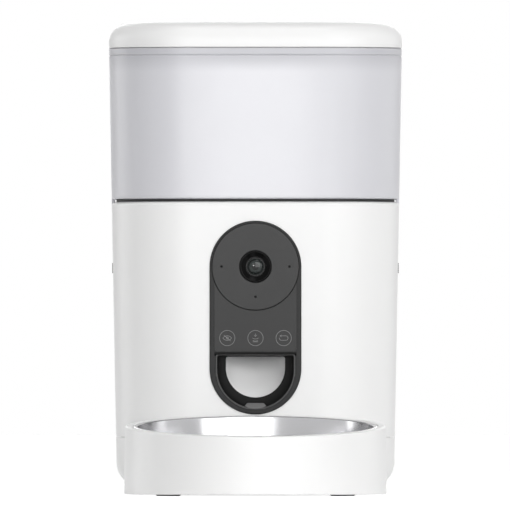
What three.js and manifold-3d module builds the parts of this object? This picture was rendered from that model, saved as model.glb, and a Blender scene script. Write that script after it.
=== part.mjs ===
// A camera pet feeder: a translucent tank over a white body, a dark camera and outlet panel on the
// front, a paddle rotor driven by a geared motor inside, and a steel bowl in a holder at the foot.
// Millimetres, +Z up, the front towards -Y, the origin under the middle of the whole feeder.

import * as THREE from 'three';
import { mergeVertices } from 'three/addons/utils/BufferGeometryUtils.js';
import Module from 'manifold-3d';

const wasm = await Module();
wasm.setup();

// Whole feeder
const overallHeight = 310;
const topWidth = 192.3; // across the lid seam
const footInset = 5.35; // each drafted side, from the lid seam down to the table
const topDepth = 134; // body and tank, front to back at the lid seam
const flatWidth = 88.3; // flat of the front and back at the lid seam, between the rounded corners
const fit = 0.3; // gap between seated pieces
const overrun = 2; // how far a cutter runs past what it cuts
const weld = 0.0001; // vertices closer than this are one

// Levels
const lidHeight = 16.7;
const tankHeight = 98.8; // from the underside of the tank's shoulder to its rim
const grooveHeight = 1.9; // dark line between tank and body
const seamHeight = 38.1; // top of the base tray
const bodyClearance = 6; // underside of the base tray over the table

// Facets
const planSteps = 5; // per plan corner
const cornerSteps = 2; // per corner of a small outline
const endSteps = 12; // per half circle of the pill and the outlet
const bowlSides = 36;
const roundSides = 18;
const smallSides = 10;
const screwSides = 8;

// Lid
const lidWall = 2.4;
const lidRimHeight = 3.3; // the inner frame's rim, which shows as a line round the lid
const lidEdgeReach = 15; // the rounded top edge, measured inwards
const lidEdgeDrop = 12.5; // and downwards
const lidEdgeSteps = 5;
const lidInsideSteps = 2;
const plugDepth = 9;
const plugWall = 3;
const plugClearance = 1.8; // plug to the tank's wall, bridged by the seal
const sealHeight = 3;
const sealGroove = 1;
const sealDrop = 4; // seal's top under the lid seam

// Desiccant box
const desiccantRadius = 30;
const desiccantWall = 2;
const desiccantDepth = 20; // below the lid frame's plate
const desiccantFlange = 4;
const desiccantRoof = 1.5;
const capThickness = 2.2;
const capCollarHeight = 3.5;
const capSlots = 8;
const capSlotWidth = 3;
const capSlotInner = 9;
const capSlotOuter = 23;
const capGripHeight = 3.5;
const capGripLength = 30;
const capGripWidth = 5;

// Tank
const tankWall = 2.4;
const collarHeight = 4.2; // the plain band over the tank's groove line
const collarGroove = 0.5;
const neckInset = 7; // the part that drops into the body, in from the tank's side
const funnelDrop = 12.3; // body's top to the funnel's upper edge
const tabWidth = 23.4;
const tabThickness = 2.2;

// Body
const bodyWall = 2.8;
const bodyEdge = 2; // rounding of the top edge
const bodyEdgeSteps = 3;
const ledgeDrop = 6.3; // body's top to the ledge that carries the tank gasket
const ledgeThickness = 3;
const floorThickness = 4;
const trayCorner = 15; // rounding of the base tray's lower edge
const traySteps = 4;
const trayInsideSteps = 2;
const lipHeight = 4; // tray lip that locates the body shell
const lipThickness = 2;

// Feet and screws of the body
const footRadius = 8;
const footSeatDepth = 1.5;
const footSideMargin = 32.8; // from the body's side at the table
const footEndMargin = 37; // from its end at the lid seam
const screwHeadRadius = 3.4;
const screwHeadHeight = 1.8;
const screwShankRadius = 1;
const screwReach = 12; // into the leg
const screwClearance = 0.4;

// Front panel: a pill between the seam and the body's top, laid out from the lens
const pillTopShare = 12.6 / 154.2; // pill to the body's top, of the height between seam and top
const pillHeightShare = 126.7 / 154.2;
const pillRadiusShare = 30 / 126.7; // of the pill's height
const pillProud = 1.2;
const pillBevel = 0.7;
const flangeReach = 2.5; // flange behind the wall, past the pill's edge
const flangeThickness = 2;
const discMargin = 1.1; // inside the pill's edge
const discThickness = 2.7;
const discProud = 0.4;
const discEdge = 0.4;
const micAcrossShare = 22.2 / 28.9; // of the disc's radius
const micDropShare = 19.7 / 28.9;
const micRadius = 0.6;
const lensRingShare = 10.2 / 28.9; // of the disc's radius
const lensRingInnerShare = 6.7 / 28.9;
const barrelShare = 6.2 / 28.9;
const glassShare = 4.2 / 28.9;
const barrelLength = 8;
const barrelRecess = 1.2; // barrel's front behind the disc's front
const glassDome = 1.4;
const domeSteps = 3;
const cameraShare = 25 / 30; // housing's side, of the pill's radius
const cameraDepth = 4.8;
const boardThickness = 1.6;
const cameraBoardShare = 28 / 30;
const touchMargin = 3.2; // inside the pill's edge
const touchGap = 3.5; // outlet's flat top to the touch panel
const touchCorner = 3;
const touchThickness = 1.4;
const touchSink = 0.3; // touch panel's face behind the pill's face
const touchBoardHeight = 16;
const touchKeyRise = 8.8; // touch panel's lower edge to the three touch places

// Outlet
const outletRaise = 0.4; // opening's round end centre over the pill's
const outletRise = 7.3; // from there to the opening's flat top
const outletCorner = 1.2;
const surroundShare = 25.2 / 30; // of the pill's radius
const outletShare = 19.3 / 30;
const surroundSink = 5.2; // dark surround behind the pill's face
const surroundBand = 1.2; // dark strip over the opening
const surroundRim = 1.2;
const surroundRimSink = 0.3;
const surroundPlate = 2.4;
const spoutTopShare = 10.3 / 25.2; // spout's width, of the surround's radius
const spoutBottomShare = 16.4 / 25.2;
const spoutHeight = 3.7;
const spoutRise = 3; // from the surround towards the front
const chuteWall = 2;
const chuteClearance = 0.7; // chute's inside past the opening's edge
const chuteSlope = 44; // degrees

// Feed drive
const rotorBack = 8; // rotor axis behind the body's middle
const cupMargin = 22; // inside the body's side at the lid seam
const cupWall = 2.4;
const cupLift = 13.3; // cup's floor over the outlet's flat top
const cupFloorThickness = 3;
const cupHeightShare = 39 / 76; // of the space between its floor and the funnel's upper edge
const cupPostRadius = 3.5;
const cupPostAcrossShare = 37.5 / 45; // of the cup's radius
const cupPostBackShare = 14 / 45;
const outletEdge = 2; // cup floor left outside its outlet
const guardInner = 13;
const guardThickness = 2.5;
const guardShare = 30 / 39; // its height over the cup's floor, of the cup's height
const guardHalfAngle = 42; // degrees
const guardLugWidth = 8;
const guardLugAngle = 28; // degrees
const paddles = 6;
const paddleThickness = 2.4;
const paddleShare = 27 / 39; // of the cup's height
const paddleGap = 0.8;
const hubRadius = 9;
const coneRadius = 2.5;
const coneHeight = 16;
const shaftRadius = 3;
const shaftMargin = 3; // the paddles rise this much over the shaft's end
const bushWall = 1.4;
const bushFlange = 7;
const bushFlangeThickness = 0.7;
const gearModuleShare = 1 / 30; // of the cup's radius
const gearTeeth = 24;
const pinionTeeth = 12;
const gearWidth = 5;
const gearLift = 1.5; // gear's underside over the drive frame
const pressureAngle = 20; // degrees
const backlash = 0.3;
const addendumShare = 0.9; // of the module
const dedendumShare = 1.2;
const frameDrop = 11; // cup's floor to the drive frame's top
const frameThickness = 3;
const frameMargin = 6; // past the legs' middles, at the sides and the front
const frameBackMargin = 8;
const frameCorner = 8;
const legRadius = 4.5;
const legSideMargin = 3; // inside the rotor cup's radius
const legFront = -16;
const legBackMargin = 25; // rear legs to the body's side at the lid seam
const motorRadius = 12;
const gearboxWidth = 36;
const gearboxDepth = 24;
const motorShare = 22 / 83; // gearbox, and motor, of the frame's height over the tray
const outputRadius = 2.5;
const outputSeat = 4;
const motorScrewHead = 2.6;
const motorScrewShank = 1.1;
const motorScrewOffset = 14.2;
const motorScrewReach = 8;

// Side buttons
const buttonDrop = 19.8; // body's top to the button
const buttonHeight = 19.9; // down to its finger pad
const padHeight = 6.6;
const buttonSink = 0.9; // button's face in from the body's side
const buttonThickness = 4;
const padThickness = 2.4;
const padProud = 0.3;
const pocketDepth = 9.5;
const pocketWall = 1.6;
const springRadius = 3.2;
const springWire = 0.8;
const springTurns = 2.5;
const springSteps = 8; // per turn
const wireSides = 5;

// Back
const socketHeight = 52;
const socketAcross = 26;
const socketWidth = 13;
const socketWide = 9; // its height on the wall
const socketCorner = 1;
const socketDepth = 9;
const socketBore = 3.2;
const socketPin = 0.9;
const socketFloor = 1.6;
const socketSink = 0.5;
const resetRise = 16; // reset button over the socket
const resetRadius = 3.4;
const resetLength = 4.2;
const resetProud = 0.5;
const resetTravel = 1;
const resetFlange = 1;
const rearBoardWidth = 24;
const rearBoardHeight = 36;
const grilleAcross = -24;
const grilleHeight = 64;
const grilleSize = 30;
const grilleCorner = 5;
const grilleSlots = 6;
const grilleSlotWidth = 2;
const grilleFlange = 2;
const grilleThickness = 1.8;
const speakerRadius = 14;
const speakerDepth = 8;
const magnetRadius = 8;

// Main board on the base tray
const mainBoardWidth = 76;
const boardFrontGap = 5; // middles of the front legs to the board
const boardBackGap = 7;
const standoffHeight = 4;
const standoffRadius = 3;
const standoffInset = 6;
const boardCorner = 2;
const chipSize = 22;
const chipThickness = 1.4;
const capacitorRadius = 4.6;
const capacitorHeight = 10;
const capacitorX = 25;
const capacitorY = 11;

// Bowl and holder
const holderTopWidth = 169.4;
const holderSpread = 0.8; // each side, from the rim down to the foot
const holderLift = 1; // holder's underside over the table
const holderGap = 2; // holder's back rim to the body's front
const rimHeight = 45.6; // rim's middle level
const rimTilt = 4.66; // degrees, down towards the front
const rimEdge = 1.2;
const holderFloor = 2.6;
const holderWall = 2.8;
const bowlMargin = 5.2; // bowl's rim to the holder's side
const bowlThickness = 1.2;
const bowlBead = 2.6; // height of the bowl's rim bead
const bowlSeat = 1.6; // holder ledge under the bead
const bowlClearance = 11.6; // table to the bowl, measured under the rim's middle
const bowlDraft = 1.6; // how much the wall draws in on its way down
const bowlFloorRadius = 20; // rounding between wall and floor
const bowlFloorSteps = 4;
const collarDepth = 14; // thick part of the holder under its rim
const holderFootRadius = 7.9;
const holderFootSeat = 1.1;
const holderFootXShare = 56.5 / 85.5; // of the holder's radius at its foot
const holderFootYShare = 48 / 85.5;
const tongueWidth = 70;
const tongueReach = 40; // under the body
const tongueThickness = 3.6;
const ribWidth = 39.4;
const ribHeight = 1.8;

// Levels and places that follow from the sizes
const lidSeam = overallHeight - lidHeight;
const footWidth = topWidth - 2 * footInset;
const planCorner = (topWidth - flatWidth) / 2;
const footSpreadX = footWidth / 2 - footSideMargin;
const footSpreadY = topDepth / 2 - footEndMargin;
const draft = footInset / lidSeam;
const tankRim = lidSeam - fit;
const tankShoulder = tankRim - tankHeight;
const bodyTop = tankShoulder - grooveHeight;
const shellBottom = seamHeight + fit;
const trayFloor = bodyClearance + floorThickness;
const frontLean = Math.atan(draft);
const ledgeTop = bodyTop - ledgeDrop;
const funnelTop = bodyTop - funnelDrop;
const buttonTop = bodyTop - buttonDrop;
const buttonMiddle = buttonTop - buttonHeight;
const buttonBottom = buttonMiddle - padHeight;

const pillHeight = (bodyTop - seamHeight) * pillHeightShare;
const pillRadius = pillHeight * pillRadiusShare;
const pillSpacing = pillHeight - 2 * pillRadius;
const lensHeight = bodyTop - (bodyTop - seamHeight) * pillTopShare - pillRadius;
const discRadius = pillRadius - discMargin;
const lensRingRadius = discRadius * lensRingShare;
const lensRingInner = discRadius * lensRingInnerShare;
const barrelRadius = discRadius * barrelShare;
const glassRadius = discRadius * glassShare;
const cameraSize = pillRadius * cameraShare;
const cameraBoardSize = pillRadius * cameraBoardShare;
const outletCentre = lensHeight - pillSpacing + outletRaise;
const outletTop = outletCentre + outletRise;
const surroundRadius = pillRadius * surroundShare;
const outletRadius = pillRadius * outletShare;
const spoutTopWidth = surroundRadius * spoutTopShare;
const spoutBottomWidth = surroundRadius * spoutBottomShare;
const touchWidth = 2 * (pillRadius - touchMargin);
const touchBottom = outletTop + touchGap;
const touchKeyHeight = touchBottom + touchKeyRise;

const cupRadius = topDepth / 2 - cupMargin;
const cupFloorTop = outletTop + cupLift;
const cupHeight = (funnelTop - cupFloorTop) * cupHeightShare;
const cupTop = cupFloorTop + cupHeight;
const cupFloorBottom = cupFloorTop - cupFloorThickness;
const throatBottom = cupTop + fit;
const paddleHeight = cupHeight * paddleShare;
const gearModule = cupRadius * gearModuleShare;
const frameTop = cupFloorTop - frameDrop;
const motorHeight = (frameTop - trayFloor) * motorShare;
const legSpreadX = cupRadius - legSideMargin;
const legBack = topDepth / 2 - legBackMargin;
const mainBoardFront = legFront + boardFrontGap;
const mainBoardRear = legBack - boardBackGap;

function halfWidth(z) {
  return footWidth / 2 + draft * Math.min(z, lidSeam);
}

function halfDepth(z) {
  return topDepth / 2 - draft * Math.max(lidSeam - z, 0);
}

const tilt = THREE.MathUtils.degToRad(rimTilt);
const holderBottomWidth = holderTopWidth + 2 * holderSpread;
const bowlRadius = holderTopWidth / 2 - bowlMargin;
const bowlDepth = rimHeight - bowlClearance;
const rimBack = rimHeight + Math.tan(tilt) * holderTopWidth / 2;
const holderFromBody = halfDepth(rimBack) + holderGap + holderTopWidth / 2;
const overallDepth = topDepth / 2 + holderFromBody + holderBottomWidth / 2;
const bodyY = overallDepth / 2 - topDepth / 2;
const holderY = bodyY - holderFromBody;

// Finishes: colour, roughness, metalness, opacity
const finishes = {
  white: [0xf1f1f0, 0.42, 0, 1],
  tank: [0xd9d9e2, 0.3, 0, 0.55],
  dark: [0x3b3b3d, 0.5, 0, 1],
  black: [0x121214, 0.35, 0, 1],
  rubber: [0x2a2a2c, 0.9, 0, 1],
  silicone: [0xe4e4e2, 0.8, 0, 1],
  pale: [0xc9c9c9, 0.5, 0, 1],
  steel: [0xc8cacc, 0.25, 1, 1],
  brass: [0xc9a860, 0.4, 1, 1],
  glass: [0x1b2426, 0.05, 0, 1],
  board: [0x1f5a3a, 0.6, 0, 1],
  nylon: [0xe6e2d6, 0.6, 0, 1],
};

// Closed solids from geometries, and the booleans on them
function solidOf(thing) {
  if (!(thing instanceof THREE.BufferGeometry)) return thing;
  const bare = thing.clone();
  bare.deleteAttribute('normal');
  bare.deleteAttribute('uv');
  const merged = mergeVertices(bare, weld);
  const corners = merged.index.array;
  const kept = [];
  for (let i = 0; i < corners.length; i += 3) {
    const [a, b, c] = [corners[i], corners[i + 1], corners[i + 2]];
    if (a !== b && b !== c && c !== a) kept.push(a, b, c);
  }
  return new wasm.Manifold(new wasm.Mesh({
    numProp: 3,
    vertProperties: Float32Array.from(merged.attributes.position.array),
    triVerts: Uint32Array.from(kept),
  }));
}

function join(...things) {
  return things.map(solidOf).reduce((whole, next) => whole.add(next));
}

function cut(thing, ...tools) {
  return tools.map(solidOf).reduce((whole, next) => whole.subtract(next), solidOf(thing));
}

function common(first, second) {
  return solidOf(first).intersect(solidOf(second));
}

function geometryOf(solid) {
  const mesh = solid.getMesh();
  const geometry = new THREE.BufferGeometry();
  geometry.setAttribute('position', new THREE.BufferAttribute(mesh.vertProperties, 3));
  geometry.setIndex(new THREE.BufferAttribute(mesh.triVerts, 1));
  geometry.computeVertexNormals();
  return geometry;
}

// Basic forms, each upright and placed where it is wanted
function block(x0, x1, y0, y1, z0, z1) {
  const geometry = new THREE.BoxGeometry(x1 - x0, y1 - y0, z1 - z0);
  return geometry.translate((x0 + x1) / 2, (y0 + y1) / 2, (z0 + z1) / 2);
}

// A block on the left (-1) or right (1) of the feeder, between two distances from its middle
function sideBlock(side, inner, outer, width, z0, z1) {
  const x0 = side > 0 ? inner : -outer;
  const x1 = side > 0 ? outer : -inner;
  return block(x0, x1, -width / 2, width / 2, z0, z1);
}

function rod(radius, z0, z1, x = 0, y = 0, sides = roundSides, topRadius = radius) {
  const geometry = new THREE.CylinderGeometry(topRadius, radius, z1 - z0, sides);
  return geometry.rotateX(Math.PI / 2).translate(x, y, (z0 + z1) / 2);
}

function turned(profile, sides = roundSides) {
  const points = profile.map(([radius, height]) => new THREE.Vector2(radius, height));
  return new THREE.LatheGeometry(points, sides).rotateX(Math.PI / 2);
}

function prism(shape, z0, z1) {
  const geometry = new THREE.ExtrudeGeometry(shape, { depth: z1 - z0, bevelEnabled: false });
  return geometry.translate(0, 0, z0);
}

// A solid through rings of points that run anticlockwise seen from where the rings lead
function loft(rings) {
  const count = rings[0].length;
  const corners = [];
  for (let r = 0; r < rings.length - 1; r += 1) {
    for (let i = 0; i < count; i += 1) {
      const a = r * count + i;
      const b = r * count + (i + 1) % count;
      corners.push(a, b, b + count, a, b + count, a + count);
    }
  }
  const last = (rings.length - 1) * count;
  for (let i = 1; i < count - 1; i += 1) {
    corners.push(0, i + 1, i, last, last + i, last + i + 1);
  }
  const geometry = new THREE.BufferGeometry().setFromPoints(rings.flat());
  geometry.setIndex(corners);
  return geometry;
}

// The feeder's plan at a level: a rounded rectangle that grows with the draft
function planRing(z, inset = 0) {
  const corner = Math.min(planCorner, halfDepth(z), halfWidth(z)) - inset;
  const reachX = halfWidth(z) - inset - corner;
  const reachY = halfDepth(z) - inset - corner;
  const points = [];
  for (let quarter = 0; quarter < 4; quarter += 1) {
    const signX = quarter === 0 || quarter === 3 ? 1 : -1;
    const signY = quarter < 2 ? 1 : -1;
    for (let step = 0; step <= planSteps; step += 1) {
      const angle = (quarter + step / planSteps) * Math.PI / 2;
      points.push(new THREE.Vector3(
        signX * reachX + corner * Math.cos(angle),
        signY * reachY + corner * Math.sin(angle),
        z,
      ));
    }
  }
  return points;
}

// A circle about the rotor axis whose points face those of the plan
function throatRing(z, radius) {
  return planRing(z).map((point) => {
    const angle = Math.atan2(point.y, point.x);
    return new THREE.Vector3(radius * Math.cos(angle), rotorBack + radius * Math.sin(angle), z);
  });
}

function band(z0, z1, outer, inner) {
  return cut(
    loft([planRing(z0, outer), planRing(z1, outer)]),
    loft([planRing(z0 - overrun, inner), planRing(z1 + overrun, inner)]),
  );
}

// Outlines in a wall's own plane
function arc(x, y, radius, from, to, steps) {
  const points = [];
  for (let step = 0; step <= steps; step += 1) {
    const angle = from + (to - from) * step / steps;
    points.push(new THREE.Vector2(x + radius * Math.cos(angle), y + radius * Math.sin(angle)));
  }
  return points;
}

function circleShape(radius, sides) {
  return new THREE.Shape(arc(0, 0, radius, 0, 2 * Math.PI, sides).slice(1));
}

function pillShape(radius) {
  return new THREE.Shape([
    ...arc(0, 0, radius, 0, Math.PI, endSteps),
    ...arc(0, -pillSpacing, radius, Math.PI, 2 * Math.PI, endSteps),
  ]);
}

function archShape(radius, rise, corner) {
  return new THREE.Shape([
    ...arc(0, 0, radius, Math.PI, 2 * Math.PI, endSteps),
    ...arc(radius - corner, rise - corner, corner, 0, Math.PI / 2, cornerSteps),
    ...arc(corner - radius, rise - corner, corner, Math.PI / 2, Math.PI, cornerSteps),
  ]);
}

function roundedShape(width, height, corner) {
  const points = [];
  for (let quarter = 0; quarter < 4; quarter += 1) {
    const x = (quarter === 0 || quarter === 3 ? 1 : -1) * (width / 2 - corner);
    const y = (quarter < 2 ? 1 : -1) * (height / 2 - corner);
    const from = quarter * Math.PI / 2;
    points.push(...arc(x, y, corner, from, from + Math.PI / 2, cornerSteps));
  }
  return new THREE.Shape(points);
}

// A spur gear's outline with involute flanks
function gearShape(teeth, bore) {
  const pitch = gearModule * teeth / 2;
  const pressure = THREE.MathUtils.degToRad(pressureAngle);
  const base = pitch * Math.cos(pressure);
  const tip = pitch + gearModule * addendumShare;
  const root = pitch - gearModule * dedendumShare;
  const involute = (radius) => {
    const angle = Math.acos(Math.min(base / radius, 1));
    return Math.tan(angle) - angle;
  };
  const halfTooth = Math.PI / teeth / 2 - backlash / 2 / pitch;
  const halfAt = (radius) => halfTooth + involute(pitch) - involute(Math.max(radius, base));
  const flank = [root, pitch, tip];
  const points = [];
  for (let tooth = 0; tooth < teeth; tooth += 1) {
    const middle = tooth / teeth * 2 * Math.PI;
    const polar = (radius, angle) => points.push(new THREE.Vector2(
      radius * Math.cos(middle + angle),
      radius * Math.sin(middle + angle),
    ));
    flank.forEach((radius) => polar(radius, -halfAt(radius)));
    [...flank].reverse().forEach((radius) => polar(radius, halfAt(radius)));
  }
  const shape = new THREE.Shape(points);
  if (bore) shape.holes.push(circleShape(bore, roundSides));
  return shape;
}

// Frames: the body, the holder, and the drafted front and back walls of the body
const feeder = new THREE.Group();
const body = new THREE.Group();
body.position.y = bodyY;
const holder = new THREE.Group();
holder.position.y = holderY;
const bowlFrame = new THREE.Group();
bowlFrame.position.z = rimHeight;
bowlFrame.rotation.x = tilt;
bowlFrame.updateMatrix();
holder.add(bowlFrame);
feeder.add(body, holder);

function wallFrame(facing, z) {
  const up = new THREE.Vector3(0, facing * Math.sin(frontLean), Math.cos(frontLean));
  const out = new THREE.Vector3(0, facing * Math.cos(frontLean), -Math.sin(frontLean));
  const across = new THREE.Vector3().crossVectors(up, out);
  const frame = new THREE.Group();
  frame.quaternion.setFromRotationMatrix(new THREE.Matrix4().makeBasis(across, up, out));
  frame.position.set(0, facing * halfDepth(z), z);
  frame.updateMatrix();
  body.add(frame);
  return frame;
}

const face = wallFrame(-1, lensHeight);
const rear = wallFrame(1, socketHeight);

// A level over the table, measured up the front panel from the lens
function upFace(z) {
  return (z - lensHeight) / Math.cos(frontLean);
}

function inFrame(frame, thing) {
  return thing.clone().applyMatrix4(frame.matrix);
}

function piece(name, thing, finish, frame = body) {
  const [color, roughness, metalness, opacity] = finishes[finish];
  const material = new THREE.MeshStandardMaterial({
    color, roughness, metalness, opacity, transparent: opacity < 1,
  });
  const geometry = thing instanceof THREE.BufferGeometry ? thing : geometryOf(thing);
  const mesh = new THREE.Mesh(geometry, material);
  mesh.name = name;
  frame.add(mesh);
  return mesh;
}

// Lid: an outer cover over an inner frame whose rim shows as a line, with its seal
const rimTop = lidSeam + lidRimHeight;
const coverBottom = rimTop + fit;
const plugInset = tankWall + plugClearance;

function coverRings(inset, bottom, steps) {
  const rings = [planRing(bottom, inset)];
  for (let step = 0; step <= steps; step += 1) {
    const angle = step / steps * Math.PI / 2;
    rings.push(planRing(
      overallHeight - lidEdgeDrop + (lidEdgeDrop - inset) * Math.sin(angle),
      inset + (lidEdgeReach - inset) * (1 - Math.cos(angle)),
    ));
  }
  return rings;
}

piece('lid_cover', cut(
  loft(coverRings(0, coverBottom, lidEdgeSteps)),
  loft(coverRings(lidWall, coverBottom - overrun, lidInsideSteps)),
), 'white');

const sealTop = lidSeam - sealDrop;
const lidFrame = cut(
  join(
    loft([planRing(lidSeam), planRing(rimTop)]),
    band(lidSeam - plugDepth, rimTop, plugInset, plugInset + plugWall),
  ),
  band(sealTop - sealHeight - fit, sealTop + fit, plugInset - overrun, plugInset + sealGroove),
  rod(desiccantRadius + fit, lidSeam - overrun, rimTop + overrun, 0, 0, bowlSides),
);
piece('lid_frame', lidFrame, 'white');
piece('lid_seal', band(
  sealTop - sealHeight, sealTop, tankWall + fit, plugInset + sealGroove - fit,
), 'silicone');

// Desiccant box hung in the lid frame, and the slotted cover that twists onto it
const boxBottom = lidSeam - desiccantDepth;
const boxInside = desiccantRadius - desiccantWall;
piece('desiccant_box', turned([
  [0, coverBottom],
  [boxInside, coverBottom],
  [boxInside, boxBottom],
  [desiccantRadius, boxBottom],
  [desiccantRadius, coverBottom],
  [desiccantRadius + desiccantFlange, coverBottom],
  [desiccantRadius + desiccantFlange, coverBottom + desiccantRoof],
  [0, coverBottom + desiccantRoof],
], bowlSides), 'white');

const capTop = boxBottom - fit;
const capBottom = capTop - capThickness;
const capCollar = cut(
  rod(boxInside - fit, capTop - capThickness / 2, capTop + capCollarHeight, 0, 0, bowlSides),
  rod(boxInside - fit - desiccantWall, capTop, capTop + capCollarHeight + overrun, 0, 0, bowlSides),
);
const capSlotTools = [];
for (let slot = 0; slot < capSlots; slot += 1) {
  const tool = block(
    capSlotInner, capSlotOuter, -capSlotWidth / 2, capSlotWidth / 2, capBottom - overrun, capTop + overrun,
  );
  capSlotTools.push(tool.rotateZ((slot + 1 / 2) / capSlots * 2 * Math.PI));
}
piece('desiccant_cover', join(
  cut(join(rod(desiccantRadius, capBottom, capTop), capCollar), ...capSlotTools),
  block(
    -capGripLength / 2, capGripLength / 2, -capGripWidth / 2, capGripWidth / 2,
    capBottom - capGripHeight, capBottom + capThickness / 2,
  ),
), 'white');

// Tank: collar, drafted sides, a shoulder, a funnel that drops into the body, and two side tabs
const collarBottom = tankRim - collarHeight;
const tankOutside = loft([
  throatRing(throatBottom, cupRadius + tankWall),
  planRing(funnelTop, neckInset),
  planRing(tankShoulder, neckInset),
  planRing(tankShoulder, collarGroove),
  planRing(tankShoulder + collarGroove),
  planRing(collarBottom - 2 * collarGroove),
  planRing(collarBottom - collarGroove, collarGroove),
  planRing(collarBottom),
  planRing(tankRim),
]);
const tankInside = loft([
  throatRing(throatBottom - overrun, cupRadius),
  throatRing(throatBottom, cupRadius),
  planRing(funnelTop, neckInset + tankWall),
  planRing(tankShoulder + tankWall, neckInset + tankWall),
  planRing(tankShoulder + tankWall, tankWall),
  planRing(tankRim + overrun, tankWall),
]);
const tabBottom = buttonTop + fit;
const tabBand = band(tabBottom, tankShoulder + tankWall, 0, tabThickness);
const tabs = [-1, 1].map((side) => common(
  tabBand,
  sideBlock(side, halfWidth(tabBottom) / 2, topWidth / 2 + overrun, tabWidth, tabBottom, tankRim),
));
piece('tank', join(cut(tankOutside, tankInside), ...tabs), 'tank');

// Body shell: a drafted sleeve with a ledge for the tank gasket and a pocket for each side button
const shellRings = [planRing(shellBottom)];
for (let step = 0; step <= bodyEdgeSteps; step += 1) {
  const angle = step / bodyEdgeSteps * Math.PI / 2;
  shellRings.push(planRing(bodyTop - bodyEdge * (1 - Math.sin(angle)), bodyEdge * (1 - Math.cos(angle))));
}
const buttonSideX = halfWidth((buttonTop + buttonBottom) / 2);
const pocketWidth = tabWidth + 2 * fit;
const pocketBack = buttonSideX - pocketDepth;
const pockets = [-1, 1].map((side) => sideBlock(
  side, pocketBack - pocketWall, buttonSideX - bodyWall / 2, pocketWidth + 2 * pocketWall,
  buttonBottom - fit - pocketWall, tabBottom + pocketWall,
));
const pocketCuts = [-1, 1].flatMap((side) => [
  sideBlock(side, pocketBack, buttonSideX + overrun, pocketWidth, buttonBottom - fit, tabBottom),
  sideBlock(side, buttonSideX - bodyWall, buttonSideX + overrun, pocketWidth, buttonTop, bodyTop + overrun),
]);
const resetCentre = [socketAcross, resetRise];
const grilleUp = (grilleHeight - socketHeight) / Math.cos(frontLean);
const throughWall = [-bodyWall - overrun, overrun];
const bodyShell = cut(
  join(
    cut(
      loft(shellRings),
      loft([planRing(shellBottom - overrun, bodyWall), planRing(bodyTop + overrun, bodyWall)]),
    ),
    band(ledgeTop - ledgeThickness, ledgeTop, bodyWall / 2, neckInset - fit),
    ...pockets,
  ),
  ...pocketCuts,
  inFrame(face, prism(pillShape(pillRadius + fit), ...throughWall)),
  inFrame(rear, prism(
    roundedShape(socketWidth + 2 * fit, socketWide + 2 * fit, socketCorner), ...throughWall,
  ).translate(socketAcross, 0, 0)),
  inFrame(rear, rod(resetRadius + fit, ...throughWall, ...resetCentre, smallSides)),
  inFrame(rear, prism(
    roundedShape(grilleSize + 2 * fit, grilleSize + 2 * fit, grilleCorner), ...throughWall,
  ).translate(grilleAcross, grilleUp, 0)),
);
piece('body_shell', bodyShell, 'white');
piece('tank_gasket', band(ledgeTop + fit, tankShoulder - fit, bodyWall + fit, neckInset - fit), 'rubber');

// Base tray: rounded underneath, a lip that locates the shell, a groove for the holder's rib
function trayRings(inset, bottom, steps) {
  const rings = [];
  for (let step = 0; step <= steps; step += 1) {
    const angle = step / steps * Math.PI / 2;
    rings.push(planRing(
      bottom + (trayCorner - inset) * (1 - Math.cos(angle)),
      inset + (trayCorner - inset) * (1 - Math.sin(angle)),
    ));
  }
  return rings;
}

const legPlaces = [];
const footPlaces = [];
for (const side of [-1, 1]) {
  legPlaces.push([side * legSpreadX, legFront], [side * legSpreadX, legBack]);
  footPlaces.push([side * footSpreadX, -footSpreadY], [side * footSpreadX, footSpreadY]);
}
const lipInset = bodyWall + fit;
const trayFront = -halfDepth(bodyClearance);
const mainBoardZ = trayFloor + standoffHeight;
const standoffs = [-1, 1].flatMap((side) => [-1, 1].map((end) => rod(
  standoffRadius, trayFloor - floorThickness / 2, mainBoardZ - fit,
  side * (mainBoardWidth / 2 - standoffInset),
  (mainBoardFront + mainBoardRear) / 2 + end * ((mainBoardRear - mainBoardFront) / 2 - standoffInset),
  screwSides,
)));
const baseTray = cut(
  join(
    cut(
      loft([...trayRings(0, bodyClearance, traySteps), planRing(seamHeight)]),
      loft([...trayRings(bodyWall, trayFloor, trayInsideSteps), planRing(seamHeight + overrun, bodyWall)]),
    ),
    band(seamHeight - lipHeight, seamHeight, bodyWall / 2, lipInset + lipThickness),
    band(seamHeight - lipHeight, seamHeight + lipHeight, lipInset, lipInset + lipThickness),
    ...standoffs,
  ),
  block(
    -ribWidth / 2 - fit, ribWidth / 2 + fit, trayFront - overrun, trayFront + tongueReach + fit,
    bodyClearance - overrun, bodyClearance + ribHeight,
  ),
  ...legPlaces.flatMap(([x, y]) => [
    rod(screwShankRadius + screwClearance, bodyClearance - overrun, trayFloor + overrun, x, y, screwSides),
    rod(
      screwHeadRadius + screwClearance, bodyClearance - overrun,
      bodyClearance + screwHeadHeight + fit, x, y, screwSides,
    ),
  ]),
  ...footPlaces.map(([x, y]) => rod(
    footRadius + fit, bodyClearance - overrun, bodyClearance + footSeatDepth, x, y, smallSides,
  )),
);
piece('base_tray', baseTray, 'white');

footPlaces.forEach(([x, y], index) => {
  piece(`body_foot_${index + 1}`, rod(
    footRadius, 0, bodyClearance + footSeatDepth - fit, x, y, smallSides,
  ), 'rubber');
});
legPlaces.forEach(([x, y], index) => {
  const headTop = bodyClearance + screwHeadHeight;
  piece(`base_screw_${index + 1}`, join(
    rod(screwHeadRadius, bodyClearance, headTop, x, y, screwSides),
    rod(screwShankRadius, headTop - screwHeadHeight / 2, trayFloor + screwReach, x, y, screwSides),
  ), 'steel');
});

// Chute: the outlet's arch swept up and back at a slope, open to the rotor cup's outlet
const surroundBack = pillProud - surroundSink - surroundPlate;
const chuteRun = Math.tan(THREE.MathUtils.degToRad(chuteSlope));
const chuteMouthY = -halfDepth(outletCentre) - surroundBack;

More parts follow.
